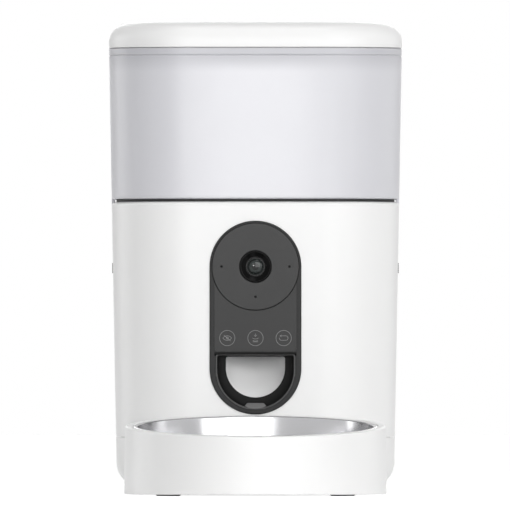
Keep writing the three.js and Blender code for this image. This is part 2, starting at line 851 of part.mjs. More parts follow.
function chuteSweep(grow) {
  const lead = surroundSink + surroundPlate;
  const length = lead + (cupTop - outletCentre) / chuteRun;
  const arch = archShape(
    outletRadius + chuteClearance + grow, outletRise + chuteClearance + grow, outletCorner + grow,
  );
  const sweep = prism(arch, 0, length);
  const slope = new THREE.Matrix4().makeBasis(
    new THREE.Vector3(-1, 0, 0), new THREE.Vector3(0, 0, 1), new THREE.Vector3(0, 1, chuteRun),
  );
  return sweep.applyMatrix4(slope).translate(0, chuteMouthY - lead, outletCentre - lead * chuteRun);
}

const largeReach = overallHeight;
const beforeChute = inFrame(face, block(
  -largeReach, largeReach, -largeReach, largeReach, surroundBack - fit, largeReach,
));
const aboveChute = block(
  -largeReach, largeReach, -largeReach, largeReach, cupFloorBottom - fit, largeReach,
);
piece('chute', cut(chuteSweep(chuteWall), chuteSweep(0), beforeChute, aboveChute), 'pale');

// Rotor cup over the drive frame, its floor open into the chute, and the guard over that outlet
const frameBottom = frameTop - frameThickness;
const guardBottom = cupFloorTop + cupHeight * guardShare;
const guardTop = guardBottom + guardThickness;
const lugAngles = [-guardLugAngle, 0, guardLugAngle].map(
  (degrees) => THREE.MathUtils.degToRad(degrees) - Math.PI / 2,
);

function guardLug(grow, reach) {
  const half = guardLugWidth / 2 + grow;
  return lugAngles.map((angle) => block(
    cupRadius - guardLugWidth, reach, -half, half, guardBottom - grow, guardTop + grow,
  ).rotateZ(angle).translate(0, rotorBack, 0));
}

const cupPosts = [-1, 1].flatMap((side) => [-1, 1].map((end) => rod(
  cupPostRadius, frameTop + fit, cupFloorTop - cupFloorThickness / 2,
  side * cupRadius * cupPostAcrossShare, rotorBack + end * cupRadius * cupPostBackShare, screwSides,
)));
const rotorCup = cut(
  join(
    cut(
      rod(cupRadius + cupWall, cupFloorBottom, cupTop, 0, rotorBack, bowlSides),
      rod(cupRadius, cupFloorTop, cupTop + overrun, 0, rotorBack, bowlSides),
    ),
    ...cupPosts,
  ),
  common(
    chuteSweep(0),
    rod(cupRadius - outletEdge, cupFloorBottom - overrun, cupFloorTop + overrun, 0, rotorBack, bowlSides),
  ),
  rod(shaftRadius + fit + bushWall + fit, cupFloorBottom - overrun, cupFloorTop + overrun, 0, rotorBack),
  ...guardLug(fit, cupRadius + cupWall + overrun),
);
piece('rotor_cup', rotorCup, 'white');

const guardHalf = THREE.MathUtils.degToRad(guardHalfAngle);
const guardFrom = -Math.PI / 2 - guardHalf;
const guardTo = -Math.PI / 2 + guardHalf;
const guardShape = new THREE.Shape([
  ...arc(0, 0, cupRadius - fit, guardFrom, guardTo, endSteps / 2),
  ...arc(0, 0, guardInner, guardTo, guardFrom, endSteps / 2),
]);
piece('outlet_guard', join(
  prism(guardShape, guardBottom, guardTop).translate(0, rotorBack, 0),
  ...guardLug(0, cupRadius + cupWall / 2),
), 'white');

// Paddle rotor on its shaft, carried by a flanged bush in the cup's floor
const bushTop = cupFloorTop + fit + bushFlangeThickness;
const hubBottom = bushTop + fit;
const paddleBottom = cupFloorTop + paddleGap;
const paddleTop = paddleBottom + paddleHeight;
const rotorBlades = [];
for (let blade = 0; blade < paddles; blade += 1) {
  rotorBlades.push(block(
    hubRadius / 2, cupRadius - paddleGap, -paddleThickness / 2, paddleThickness / 2,
    hubBottom, paddleTop,
  ).rotateZ((blade + 1 / 2) / paddles * 2 * Math.PI));
}
const hub = turned([
  [0, hubBottom],
  [hubRadius, hubBottom],
  [hubRadius, paddleTop],
  [coneRadius, paddleTop + coneHeight],
  [0, paddleTop + coneHeight + coneRadius / 2],
]);
const feedRotor = cut(
  join(hub, ...rotorBlades),
  rod(shaftRadius + fit, hubBottom - overrun, hubBottom + paddleHeight - shaftMargin + fit),
);
piece('feed_rotor', feedRotor, 'nylon').position.y = rotorBack;

const gearBottom = frameTop + gearLift;
const shaftTop = hubBottom + paddleHeight - shaftMargin;
piece('rotor_shaft', rod(shaftRadius, frameTop + fit, shaftTop, 0, rotorBack), 'steel');
const bushBore = shaftRadius + fit;
piece('rotor_bush', turned([
  [bushBore, cupFloorBottom],
  [bushBore + bushWall, cupFloorBottom],
  [bushBore + bushWall, cupFloorTop + fit],
  [bushFlange, cupFloorTop + fit],
  [bushFlange, bushTop],
  [bushBore, bushTop],
  [bushBore, cupFloorBottom],
]), 'brass').position.y = rotorBack;
piece(
  'rotor_gear', prism(gearShape(gearTeeth, bushBore), gearBottom, gearBottom + gearWidth), 'nylon',
).position.y = rotorBack;

// Motor pinion behind the rotor gear, with a tooth space towards it
const pinionBack = rotorBack + gearModule * (gearTeeth + pinionTeeth) / 2;
const gearboxTop = frameBottom - fit;
const pinion = piece('drive_pinion', join(
  prism(gearShape(pinionTeeth, 0), gearBottom, gearBottom + gearWidth),
  rod(outputRadius, gearboxTop - outputSeat + fit, gearBottom + gearWidth / 2),
), 'brass');
pinion.position.y = pinionBack;
pinion.rotation.z = (gearTeeth / 4 + pinionTeeth * 3 / 4 + 1 / 2) / pinionTeeth * 2 * Math.PI;

// Drive frame: a plate on four legs that stand on the base tray
const frameFront = legFront - frameMargin;
const frameBack = legBack + frameBackMargin;
const frameShape = roundedShape(2 * (legSpreadX + frameMargin), frameBack - frameFront, frameCorner);
const framePlate = prism(frameShape, frameBottom, frameTop).translate(0, (frameFront + frameBack) / 2, 0);
const driveFrame = cut(
  join(framePlate, ...legPlaces.map(([x, y]) => rod(
    legRadius, trayFloor + fit, frameBottom + frameThickness / 2, x, y, screwSides,
  ))),
  chuteSweep(chuteWall + frameThickness / 2),
  ...legPlaces.map(([x, y]) => rod(
    screwShankRadius + fit, trayFloor - overrun, trayFloor + screwReach + fit, x, y, screwSides,
  )),
  rod(outputRadius + 2 * fit, frameBottom - overrun, frameTop + overrun, 0, pinionBack, smallSides),
  ...[-1, 1].map((side) => rod(
    motorScrewShank + fit, frameBottom - overrun, frameTop + overrun,
    side * motorScrewOffset, pinionBack, screwSides,
  )),
);
piece('drive_frame', driveFrame, 'white');

const driveMotor = cut(
  join(
    prism(roundedShape(gearboxWidth, gearboxDepth, frameCorner / 2), gearboxTop - motorHeight, gearboxTop),
    rod(motorRadius, gearboxTop - 2 * motorHeight, gearboxTop - motorHeight / 2),
    rod(
      outputRadius, gearboxTop - 2 * motorHeight - outputRadius,
      gearboxTop - motorHeight, 0, 0, smallSides,
    ),
  ),
  rod(outputRadius + fit, gearboxTop - outputSeat, gearboxTop + overrun),
  ...[-1, 1].map((side) => rod(
    motorScrewShank + fit, gearboxTop - motorScrewReach - fit, gearboxTop + overrun,
    side * motorScrewOffset, 0, screwSides,
  )),
);
piece('drive_motor', driveMotor, 'steel').position.y = pinionBack;
[-1, 1].forEach((side, index) => {
  const headBottom = frameTop + fit;
  piece(`motor_screw_${index + 1}`, join(
    rod(motorScrewHead, headBottom, headBottom + motorScrewHead / 2, 0, 0, screwSides),
    rod(motorScrewShank, gearboxTop - motorScrewReach, headBottom + fit, 0, 0, screwSides),
  ), 'steel').position.set(side * motorScrewOffset, pinionBack, 0);
});

// Main board on the tray's standoffs, its large parts standing on it
const boardShape = roundedShape(mainBoardWidth, mainBoardRear - mainBoardFront, boardCorner);
const boardMiddle = mainBoardZ + boardThickness / 2;
const boardTop = mainBoardZ + boardThickness;
piece('main_board', join(
  prism(boardShape, mainBoardZ, boardTop),
  block(-chipSize / 2, chipSize / 2, -chipSize / 2, chipSize / 2, boardMiddle, boardTop + chipThickness),
  rod(capacitorRadius, boardMiddle, boardTop + capacitorHeight, capacitorX, capacitorY, smallSides),
), 'board').position.y = (mainBoardFront + mainBoardRear) / 2;

// Front panel: a pill that fills the shell's opening, its flange behind the wall
const discTop = pillProud + discProud;
const discBottom = discTop - discThickness;
const flangeFront = -bodyWall - fit;
const flangeBack = flangeFront - flangeThickness;
const touchTop = pillProud - touchSink;
const touchBack = touchTop - touchThickness;
const touchLow = upFace(touchBottom);
const touchHigh = -discRadius / 3;
const throughPanel = [flangeBack - overrun, discTop + overrun];
const surroundRise = outletRise + surroundBand;

function bevelled(shape, z0, z1, bevel) {
  const geometry = new THREE.ExtrudeGeometry(shape, {
    depth: z1 - z0 - 2 * bevel,
    bevelThickness: bevel,
    bevelSize: bevel,
    bevelOffset: -bevel,
    bevelSegments: 1,
  });
  return geometry.translate(0, 0, z0 + bevel);
}

function touchOutline(grow) {
  return roundedShape(touchWidth + 2 * grow, touchHigh - touchLow + 2 * grow, touchCorner);
}

const touchMiddle = (touchHigh + touchLow) / 2;
const facePanel = cut(
  join(
    bevelled(pillShape(pillRadius), flangeFront - flangeThickness / 2, pillProud, pillBevel),
    prism(pillShape(pillRadius + flangeReach), flangeBack, flangeFront),
  ),
  rod(discRadius + fit, discBottom - fit, discTop + overrun, 0, 0, bowlSides),
  rod(barrelRadius + fit, ...throughPanel),
  prism(touchOutline(fit), touchBack - fit, discTop + overrun).translate(0, touchMiddle, 0),
  prism(
    archShape(surroundRadius, surroundRise + fit, outletCorner), ...throughPanel,
  ).translate(0, upFace(outletCentre), 0),
);
piece('face_panel', facePanel, 'dark', face);

const micAcross = discRadius * micAcrossShare;
const micPlaces = [[-micAcross, 0], [micAcross, 0], [0, -discRadius * micDropShare]];
piece('camera_disc', cut(
  bevelled(circleShape(discRadius, bowlSides), discBottom, discTop, discEdge),
  rod(lensRingRadius + fit, discBottom - overrun, discTop + overrun),
  ...micPlaces.map(([x, y]) => rod(micRadius, discBottom - overrun, discTop + overrun, x, y, screwSides)),
), 'dark', face);

piece('touch_panel', cut(
  prism(touchOutline(0), touchBack, touchTop).translate(0, touchMiddle, 0),
  rod(discRadius + 2 * fit, touchBack - overrun, discTop + overrun, 0, 0, bowlSides),
), 'dark', face);

// Lens: a dished ring in the disc, and a barrel that runs back into the camera housing
piece('lens_ring', turned([
  [lensRingInner, discBottom],
  [lensRingRadius, discBottom],
  [lensRingRadius, discTop + discEdge / 2],
  [lensRingRadius - discEdge, discTop + discEdge],
  [lensRingRadius - 3 * discEdge, discTop + discEdge],
  [lensRingInner, discTop - barrelRecess],
  [lensRingInner, discBottom],
]), 'black', face);

const barrelFront = discTop - barrelRecess;
const barrelBack = barrelFront - barrelLength;
const glassSeat = glassRadius + fit;
const barrelStep = (barrelRadius - glassSeat) / 3;
piece('lens_barrel', turned([
  [glassSeat, barrelBack],
  [barrelRadius, barrelBack],
  [barrelRadius, barrelFront],
  [barrelRadius - barrelStep, barrelFront],
  [barrelRadius - barrelStep, barrelFront - barrelStep],
  [barrelRadius - 2 * barrelStep, barrelFront - barrelStep],
  [barrelRadius - 2 * barrelStep, barrelFront - 2 * barrelStep],
  [glassSeat, barrelFront - 2 * barrelStep],
  [glassSeat, barrelBack],
]), 'black', face);

const glassTop = barrelFront - 2 * barrelStep;
const glassProfile = [[0, glassTop - glassRadius], [glassRadius, glassTop - glassRadius]];
for (let step = 0; step <= domeSteps; step += 1) {
  const angle = step / domeSteps * Math.PI / 2;
  glassProfile.push([glassRadius * Math.cos(angle), glassTop - glassDome + glassDome * Math.sin(angle)]);
}
glassProfile[glassProfile.length - 1][0] = 0;
piece('lens_glass', turned(glassProfile), 'glass', face);

const housingFront = flangeBack - fit;
const housingBack = housingFront - cameraDepth;
piece('camera_housing', cut(
  prism(roundedShape(cameraSize, cameraSize, boardCorner), housingBack, housingFront),
  rod(barrelRadius + fit, barrelBack - fit, housingFront + overrun),
), 'black', face);
piece('camera_board', block(
  -cameraBoardSize / 2, cameraBoardSize / 2, -cameraBoardSize / 2, cameraBoardSize / 2,
  housingBack - fit - boardThickness, housingBack - fit,
), 'board', face);
piece('touch_board', block(
  -touchWidth / 2 + touchCorner, touchWidth / 2 - touchCorner,
  upFace(touchKeyHeight) - touchBoardHeight / 2, upFace(touchKeyHeight) + touchBoardHeight / 2,
  housingFront - boardThickness, housingFront,
), 'board', face);

// Outlet frame: the dark dished surround of the outlet, with a ramp as its spout
const surroundFront = pillProud - surroundSink;
const spoutBottom = -surroundRadius + surroundRim;
const spoutTop = spoutBottom + spoutHeight;
const spoutShape = new THREE.Shape([
  new THREE.Vector2(-spoutBottomWidth / 2, spoutBottom),
  new THREE.Vector2(spoutBottomWidth / 2, spoutBottom),
  new THREE.Vector2(spoutTopWidth / 2, spoutTop),
  new THREE.Vector2(-spoutTopWidth / 2, spoutTop),
]);
const rampShape = new THREE.Shape([
  new THREE.Vector2(spoutBottom - surroundRim / 2, surroundFront - surroundPlate / 2),
  new THREE.Vector2(spoutTop, surroundFront - surroundPlate / 2),
  new THREE.Vector2(spoutTop, surroundFront + spoutRise / 3),
  new THREE.Vector2(spoutBottom - surroundRim / 2, surroundFront + spoutRise),
]);
const ramp = prism(rampShape, -surroundRadius, surroundRadius).applyMatrix4(new THREE.Matrix4().makeBasis(
  new THREE.Vector3(0, 1, 0), new THREE.Vector3(0, 0, 1), new THREE.Vector3(1, 0, 0),
));
const surroundOutline = prism(
  archShape(surroundRadius - fit, surroundRise, outletCorner), surroundBack, pillProud - surroundRimSink,
);
const outletFrame = join(
  cut(
    surroundOutline,
    prism(
      archShape(surroundRadius - fit - surroundRim, surroundRise - surroundRim / 2, outletCorner),
      surroundFront, pillProud + overrun,
    ),
    prism(archShape(outletRadius, outletRise, outletCorner), surroundBack - overrun, pillProud + overrun),
  ),
  common(common(prism(spoutShape, surroundBack, pillProud), ramp), surroundOutline),
);
piece('outlet_frame', outletFrame, 'black', face).position.y = upFace(outletCentre);

// Side buttons with their finger pads and return springs
class Helix extends THREE.Curve {
  constructor(radius, length, turns) {
    super();
    Object.assign(this, { radius, length, turns });
  }

  getPoint(share, target = new THREE.Vector3()) {
    const angle = share * this.turns * 2 * Math.PI;
    return target.set(this.length * share, this.radius * Math.cos(angle), this.radius * Math.sin(angle));
  }
}

const buttonFace = buttonSideX - buttonSink;
const buttonBack = buttonFace - buttonThickness;
const springLength = buttonBack - pocketBack - 2 * fit - springWire;
const wireShape = circleShape(springWire / 2, wireSides);
for (const [side, label] of [[-1, 'left'], [1, 'right']]) {
  piece(`release_button_${label}`, join(
    sideBlock(side, buttonBack, buttonFace, tabWidth, buttonMiddle, buttonTop),
    sideBlock(
      side, buttonBack, buttonSideX - padThickness - fit, tabWidth, buttonBottom, buttonMiddle + fit,
    ),
  ), 'white');
  piece(`finger_pad_${label}`, sideBlock(
    side, buttonSideX - padThickness, buttonSideX + padProud, tabWidth, buttonBottom, buttonMiddle - fit,
  ), 'rubber');
  const coil = new THREE.ExtrudeGeometry(wireShape, {
    steps: springTurns * springSteps,
    extrudePath: new Helix(springRadius, springLength, springTurns),
  });
  const spring = piece(`button_spring_${label}`, coil, 'steel');
  spring.position.set(
    side * (pocketBack + fit + springWire / 2), 0, (buttonTop + buttonBottom) / 2,
  );
  if (side < 0) spring.rotation.z = Math.PI;
}

// Back: power socket, reset button and the board behind them, grille and speaker
const rearBoardFront = -socketDepth - fit;
const resetBack = resetProud - resetLength;
piece('power_socket', join(
  cut(
    prism(roundedShape(socketWidth, socketWide, socketCorner), -socketDepth, -socketSink),
    rod(socketBore, socketFloor - socketDepth, overrun, 0, 0, smallSides),
  ),
  rod(socketPin, socketFloor / 2 - socketDepth, -2 * socketSink, 0, 0, screwSides),
), 'black', rear).position.x = socketAcross;
piece('reset_button', join(
  rod(resetRadius, resetBack, resetProud, ...resetCentre, smallSides),
  rod(resetRadius + resetFlange, resetBack, flangeFront, ...resetCentre, smallSides),
), 'dark', rear);
piece('rear_board', join(
  block(
    socketAcross - rearBoardWidth / 2, socketAcross + rearBoardWidth / 2,
    resetRise / 2 - rearBoardHeight / 2, resetRise / 2 + rearBoardHeight / 2,
    rearBoardFront - boardThickness, rearBoardFront,
  ),
  rod(
    resetRadius / 2, rearBoardFront - boardThickness / 2, resetBack - resetTravel - fit,
    ...resetCentre, smallSides,
  ),
), 'board', rear);

const grilleInside = grilleSize - 2 * grilleCorner;
const grilleSlotTools = [];
for (let slot = 0; slot < grilleSlots; slot += 1) {
  const x = ((slot + 1 / 2) / grilleSlots - 1 / 2) * (grilleInside + grilleCorner);
  grilleSlotTools.push(block(
    x - grilleSlotWidth / 2, x + grilleSlotWidth / 2, -grilleInside / 2, grilleInside / 2,
    flangeBack - overrun, overrun,
  ));
}
piece('speaker_grille', cut(
  join(
    prism(roundedShape(grilleSize, grilleSize, grilleCorner), flangeFront - grilleThickness / 2, 0),
    prism(
      roundedShape(grilleSize + 2 * grilleFlange, grilleSize + 2 * grilleFlange, grilleCorner),
      flangeFront - grilleThickness, flangeFront,
    ),
  ),
  ...grilleSlotTools,
), 'white', rear).position.set(grilleAcross, grilleUp, 0);

const speakerFront = flangeFront - grilleThickness - fit;
const speakerRim = speakerDepth / 4;
piece('speaker', turned([
  [0, speakerFront - speakerDepth],
  [magnetRadius, speakerFront - speakerDepth],
  [magnetRadius, speakerFront - speakerDepth / 2],
  [speakerRadius, speakerFront - speakerRim],
  [speakerRadius, speakerFront],
  [speakerRadius - speakerRim, speakerFront],
  [magnetRadius / 2, speakerFront - speakerRim],
  [0, speakerFront - speakerRim / 2],
]), 'black', rear).position.set(grilleAcross, grilleUp, 0);

// Bowl holder: a drafted ring cut by the tilted rim plane, a thick collar inside, a floor, and a
// tongue whose rib runs in the groove under the base tray
const holderTop = holderTopWidth / 2;
const holderBottom = holderBottomWidth / 2;
const holderDraft = (holderBottom - holderTop) / (rimHeight - holderLift);
const aboveRim = rimHeight - holderLift;
const holderFloorTop = holderLift + holderFloor;
const bowlWall = bowlRadius - bowlSeat;
const rimTool = turned([
  [0, -2 * rimHeight],
  [holderTop + rimHeight, -2 * rimHeight],
  [holderTop + rimHeight, -rimEdge - rimHeight],
  [holderTop - rimEdge, 0],
  [0, 0],
], bowlSides);
const holderBody = common(
  rod(
    holderBottom, holderLift, rimHeight + aboveRim, 0, 0, bowlSides,
    holderTop - holderDraft * aboveRim,
  ),
  inFrame(bowlFrame, rimTool),
);
const lowerPocket = common(
  rod(
    holderBottom - holderWall, holderFloorTop, rimHeight + aboveRim, 0, 0, bowlSides,
    holderTop - holderWall - holderDraft * aboveRim,
  ),
  inFrame(bowlFrame, rod(holderBottom + overrun, -2 * rimHeight, -collarDepth, 0, 0, smallSides)),
);
const tongueTop = bodyClearance - fit;
const bodyFrontInHolder = holderFromBody - halfDepth(bodyClearance);
const tongueEnd = bodyFrontInHolder + tongueReach;
const holderFeet = [-1, 1].flatMap((side) => [-1, 1].map((end) => [
  side * holderBottom * holderFootXShare, end * holderBottom * holderFootYShare,
]));
const bowlHolder = cut(
  join(
    cut(
      holderBody,
      lowerPocket,
      inFrame(bowlFrame, rod(bowlWall + fit, -collarDepth - overrun, overrun, 0, 0, bowlSides)),
      inFrame(bowlFrame, rod(bowlRadius + fit, -bowlBead - fit, overrun, 0, 0, bowlSides)),
    ),
    block(
      -tongueWidth / 2, tongueWidth / 2, holderTop - holderWall, tongueEnd,
      tongueTop - tongueThickness, tongueTop,
    ),
    block(
      -ribWidth / 2, ribWidth / 2, bodyFrontInHolder + trayCorner, tongueEnd,
      tongueTop - tongueThickness / 2, tongueTop + ribHeight,
    ),
  ),
  ...holderFeet.map(([x, y]) => rod(
    holderFootRadius + fit, holderLift - overrun, holderLift + holderFootSeat, x, y, smallSides,
  )),
);
piece('bowl_holder', bowlHolder, 'white', holder);
holderFeet.forEach(([x, y], index) => {
  piece(`holder_foot_${index + 1}`, rod(
    holderFootRadius, 0, holderLift + holderFootSeat - fit, x, y, smallSides,
  ), 'rubber', holder);
});

// Steel bowl, turned about the axis of the tilted rim
const bowlFoot = bowlWall - bowlDraft;
const bowlProfile = [];
function bowlCurve(inset) {
  const curve = [];
  const radius = bowlFloorRadius - inset;
  for (let step = 0; step <= bowlFloorSteps; step += 1) {
    const angle = step / bowlFloorSteps * Math.PI / 2;
    curve.push([
      bowlFoot - bowlFloorRadius + radius * Math.sin(angle),
      bowlFloorRadius - bowlDepth - radius * Math.cos(angle),
    ]);
  }
  return curve;
}
bowlProfile.push(
  [0, -bowlDepth],
  ...bowlCurve(0),
  [bowlWall, -bowlBead],
  [bowlRadius, -bowlBead],
  [bowlRadius, -bowlBead / 4],
  [bowlRadius - bowlBead / 4, 0],
  [bowlWall - bowlThickness + bowlBead / 4, 0],
  [bowlWall - bowlThickness, -bowlBead / 4],
  ...bowlCurve(bowlThickness).reverse(),
  [0, bowlThickness - bowlDepth],
);
piece('steel_bowl', turned(bowlProfile, bowlSides), 'steel', bowlFrame);

export default feeder;
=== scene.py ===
import math

import bmesh
import bpy
from mathutils import Matrix, Vector


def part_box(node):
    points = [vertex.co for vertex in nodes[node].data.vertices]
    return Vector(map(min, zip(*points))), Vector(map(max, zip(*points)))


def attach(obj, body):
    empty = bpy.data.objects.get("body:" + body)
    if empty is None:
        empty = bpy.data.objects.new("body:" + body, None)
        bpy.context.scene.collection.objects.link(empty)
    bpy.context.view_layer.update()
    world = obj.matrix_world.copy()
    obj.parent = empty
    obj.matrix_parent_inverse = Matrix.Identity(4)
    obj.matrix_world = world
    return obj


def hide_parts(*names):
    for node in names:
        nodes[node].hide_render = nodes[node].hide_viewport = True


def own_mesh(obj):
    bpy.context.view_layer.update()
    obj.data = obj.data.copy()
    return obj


# A camera pet feeder: translucent tank, white body, dark pill panel, steel bowl in its holder.
# Lengths are in millimetres until a mesh is made.
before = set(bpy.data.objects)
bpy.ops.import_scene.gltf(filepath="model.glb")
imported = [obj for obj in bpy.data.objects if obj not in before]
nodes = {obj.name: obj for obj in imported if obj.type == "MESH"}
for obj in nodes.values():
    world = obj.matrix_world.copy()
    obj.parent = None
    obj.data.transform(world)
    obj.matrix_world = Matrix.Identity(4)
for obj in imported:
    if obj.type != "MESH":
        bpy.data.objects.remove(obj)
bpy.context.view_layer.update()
scene = bpy.context.scene
millimetre = 0.001
print("frame loaded,", len(nodes), "nodes")

feeder = {
    "height": 310, "topWidth": 192.3, "footWidth": 181.6, "topDepth": 134, "corner": 52,
    "lidHeight": 16.7, "tankHeight": 98.8, "groove": 1.9, "seam": 38.1, "clearance": 6,
    "bodyY": 83.904, "holderY": -65.404, "lensHeight": 149.7, "rearHeight": 52, "cupFloor": 101,
    "gap": 0.3, "wall": 2.8, "tankWall": 2.4, "overrun": 4, "cornerSteps": 18,
}
gap = feeder["gap"]
overrun = feeder["overrun"]
bodyY = feeder["bodyY"]
lidSeam = feeder["height"] - feeder["lidHeight"]
draft = (feeder["topWidth"] - feeder["footWidth"]) / 2 / lidSeam
lean = math.atan(draft)
tankRim = lidSeam - gap
tankShoulder = tankRim - feeder["tankHeight"]
bodyTop = tankShoulder - feeder["groove"]


# shader nodes
class Signal:
    def __init__(self, finish, socket):
        self.finish = finish
        self.socket = socket

    def compute(self, operation, first, second):
        return self.finish.node("Math", {"operation": operation}, {0: first, 1: second})

    def __add__(self, other):
        return self.compute("ADD", self, other)

    def __radd__(self, other):
        return self.compute("ADD", other, self)

    def __sub__(self, other):
        return self.compute("SUBTRACT", self, other)

    def __rsub__(self, other):
        return self.compute("SUBTRACT", other, self)

    def __mul__(self, other):
        return self.compute("MULTIPLY", self, other)

    def __rmul__(self, other):
        return self.compute("MULTIPLY", other, self)


class Finish:
    def __init__(self, owner, shader="Principled BSDF"):
        self.material = owner
        self.material.use_nodes = True
        self.tree = self.material.node_tree
        self.shader = self.tree.nodes[shader]

    def plug(self, socket, value):
        if isinstance(value, Signal):
            self.tree.links.new(value.socket, socket)
        else:
            socket.default_value = value

    def node(self, kind, settings=None, inputs=None, output=0):
        made = self.tree.nodes.new("ShaderNode" + kind)
        for key, value in (settings or {}).items():
            if key == "stops":
                ramp = made.color_ramp
                while len(ramp.elements) < len(value):
                    ramp.elements.new(1)
                for element, (place, colour) in zip(ramp.elements, value):
                    element.position = place
                    element.color = colour
            else:
                setattr(made, key, value)
        for key, value in (inputs or {}).items():
            self.plug(made.inputs[key], value)
        return Signal(self, made.outputs[output])

    def place(self):
        return self.node("TexCoord", None, None, "Object")

    def noise(self, scale, detail=2.0, roughness=0.5):
        inputs = {"Vector": self.place(), "Scale": scale, "Detail": detail, "Roughness": roughness}
        return self.node("TexNoise", None, inputs, "Fac")

    def distance(self, place, centre):
        return self.node("VectorMath", {"operation": "DISTANCE"}, {0: place, 1: centre}, "Value")

    def step(self, value, low, high):
        inputs = {"Value": value, "From Min": low, "From Max": high}
        return self.node("MapRange", {"interpolation_type": "SMOOTHSTEP"}, inputs)

    def ramp(self, value, stops):
        return self.node("ValToRGB", {"stops": stops}, {"Fac": value}, "Color")

    def mix(self, share, first, second):
        return self.node("Mix", {"data_type": "RGBA"}, {0: share, 6: first, 7: second}, 2)

    def bump(self, height, strength, distance=0.0002):
        return self.node("Bump", None, {"Height": height, "Strength": strength, "Distance": distance})

    def set(self, values):
        for key, value in values.items():
            self.plug(self.shader.inputs[key], value)
        return self


def grey(level, tint=(1, 1, 1)):
    return (level * tint[0], level * tint[1], level * tint[2], 1)


def scaled(colour, factor, lift=0.0):
    return tuple(min(channel * factor + lift, 1) for channel in colour[:3]) + (1,)


# how far fine noise moves the roughness of each kind of finish
roughSpread = {
    "plastic": 0.05, "milk": 0.06, "rubber": 0.16, "smear": 0.08, "metal": 0.12, "glass": 0.02, "board": 0.12,
}
# colour, roughness, how far both wander, grain per metre and its strength, and for dark parts the sheen
creamTint = (1, 1, 0.995)
plasticLooks = {
    "shellWhite": dict(colour=grey(0.86, creamTint), rough=0.36, wander=0.012, grain=2600, bump=0.05),
    "buttonWhite": dict(colour=grey(0.83, creamTint), rough=0.42, wander=0.012, grain=3000, bump=0.08),
    "insideWhite": dict(colour=grey(0.80), rough=0.5, wander=0.02, grain=2200, bump=0.08),
    "pillGrey": dict(colour=grey(0.014), rough=0.42, wander=0.05, grain=5200, bump=0.10, sheen=0.22),
    "discGrey": dict(colour=grey(0.026), rough=0.36, wander=0.05, grain=6000, bump=0.06, sheen=0.25),
    "touchGrey": dict(colour=grey(0.020), rough=0.34, wander=0.04, grain=6000, bump=0.03, sheen=0.25),
    "outletBlack": dict(colour=grey(0.008), rough=0.5, wander=0.06, grain=4200, bump=0.10, sheen=0.08),
    "lensBlack": dict(colour=grey(0.002), rough=0.2, wander=0.05, grain=6000, bump=0.05, sheen=0.06),
    "lensGrey": dict(colour=grey(0.013), rough=0.26, wander=0.05, grain=6000, bump=0.05, sheen=0.3),
    # the outlet rim's grey is lighter than the panel: a painted highlight along its rounded edge
    "rimHighlightGrey": dict(colour=grey(0.075), rough=0.4, wander=0.04, grain=4200, bump=0.06, sheen=0.4),
    "spoutGrey": dict(colour=grey(0.165), rough=0.4, wander=0.04, grain=3200, bump=0.08, sheen=0.4),
    "chuteGrey": dict(colour=grey(0.87), rough=0.42, wander=0.03, grain=2400, bump=0.08),
    "nylonIvory": dict(colour=(0.76, 0.74, 0.66, 1), rough=0.5, wander=0.03, grain=2400, bump=0.10),
    "iconInk": dict(colour=grey(0.22), rough=0.5, wander=0.03, grain=4000, bump=0.02),
}


def plastic(name, look):
    finish = Finish(bpy.data.materials.new(name))
    cloud = finish.noise(scale=38, detail=3)
    grain = finish.noise(look["grain"])
    wander = look["wander"]
    darker = scaled(look["colour"], 1 - wander)
    lighter = scaled(look["colour"], 1 + wander)
    return finish.set({
        "Base Color": finish.mix(cloud, darker, lighter),
        "Roughness": (cloud - 0.5) * (wander * 2) + look["rough"] + (grain - 0.5) * roughSpread["plastic"],
        "Normal": finish.bump(grain, look["bump"]),
        "Specular IOR Level": look.get("sheen", 0.5),
    })


# near, far, collarLow and collarHigh: metres from the feeder's upright middle line, and over the floor
tankLook = {
    # corner: painted shade towards the tank's sides; collar: painted shadow of the lid's plug in the band
    # under the lid
    "colour": (0.86, 0.86, 0.895, 1), "corner": (0.72, 0.72, 0.755, 1), "collar": (0.60, 0.60, 0.635, 1),
    "near": 0.064, "far": 0.088, "collarLow": 0.276, "collarHigh": 0.288, "rough": 0.34, "through": 0.12,
    "index": 1.45, "grain": 1500, "bump": 0.05, "ragged": 0.006,
}


# milky plastic with painted shade: darker towards the corners, and a painted shadow in the collar band where
# the lid's plug stands behind it
def milkyPlastic(name, look):
    finish = Finish(bpy.data.materials.new(name))
    cloud = finish.noise(scale=24, detail=3)
    grain = finish.noise(look["grain"])
    level = finish.node("VectorMath", {"operation": "MULTIPLY"}, {0: finish.place(), 1: (1, 1, 0)})
    away = finish.distance(level, (0, bodyY * millimetre, 0))
    cornerShadeShare = finish.step(away + (cloud - 0.5) * look["ragged"], look["near"], look["far"])
    height = finish.node("SeparateXYZ", None, {"Vector": finish.place()}, "Z")
    plugShadowShare = finish.step(height, look["collarLow"], look["collarHigh"])
    side = finish.mix(cornerShadeShare, look["colour"], look["corner"])
    return finish.set({
        "Base Color": finish.mix(plugShadowShare, side, look["collar"]),
        "Roughness": look["rough"] + (cloud - 0.5) * roughSpread["milk"],
        "Normal": finish.bump(grain, look["bump"]),
        "IOR": look["index"],
        "Transmission Weight": look["through"],
    })


rubberLooks = {
    "gasketBlack": dict(colour=grey(0.018), rough=0.75, grain=2600),
    "footRubber": dict(colour=grey(0.035), rough=0.8, grain=1800),
    "paleRubber": dict(colour=grey(0.30), rough=0.7, grain=2000),
    "padRubber": dict(colour=grey(0.022), rough=0.62, grain=2200),
    "sealSilicone": dict(colour=grey(0.66, (1, 1, 0.97)), rough=0.6, grain=1800),
}


def rubber(name, look):
    finish = Finish(bpy.data.materials.new(name))
    grain = finish.noise(look["grain"], detail=3)
    dust = finish.noise(scale=60, detail=4, roughness=0.6)
    dusty = scaled(look["colour"], 1.25, 0.006)
    return finish.set({
        "Base Color": finish.mix(dust, look["colour"], dusty),
        "Roughness": look["rough"] + (dust - 0.5) * roughSpread["rubber"],
        "Normal": finish.bump(grain, strength=0.16),
    })


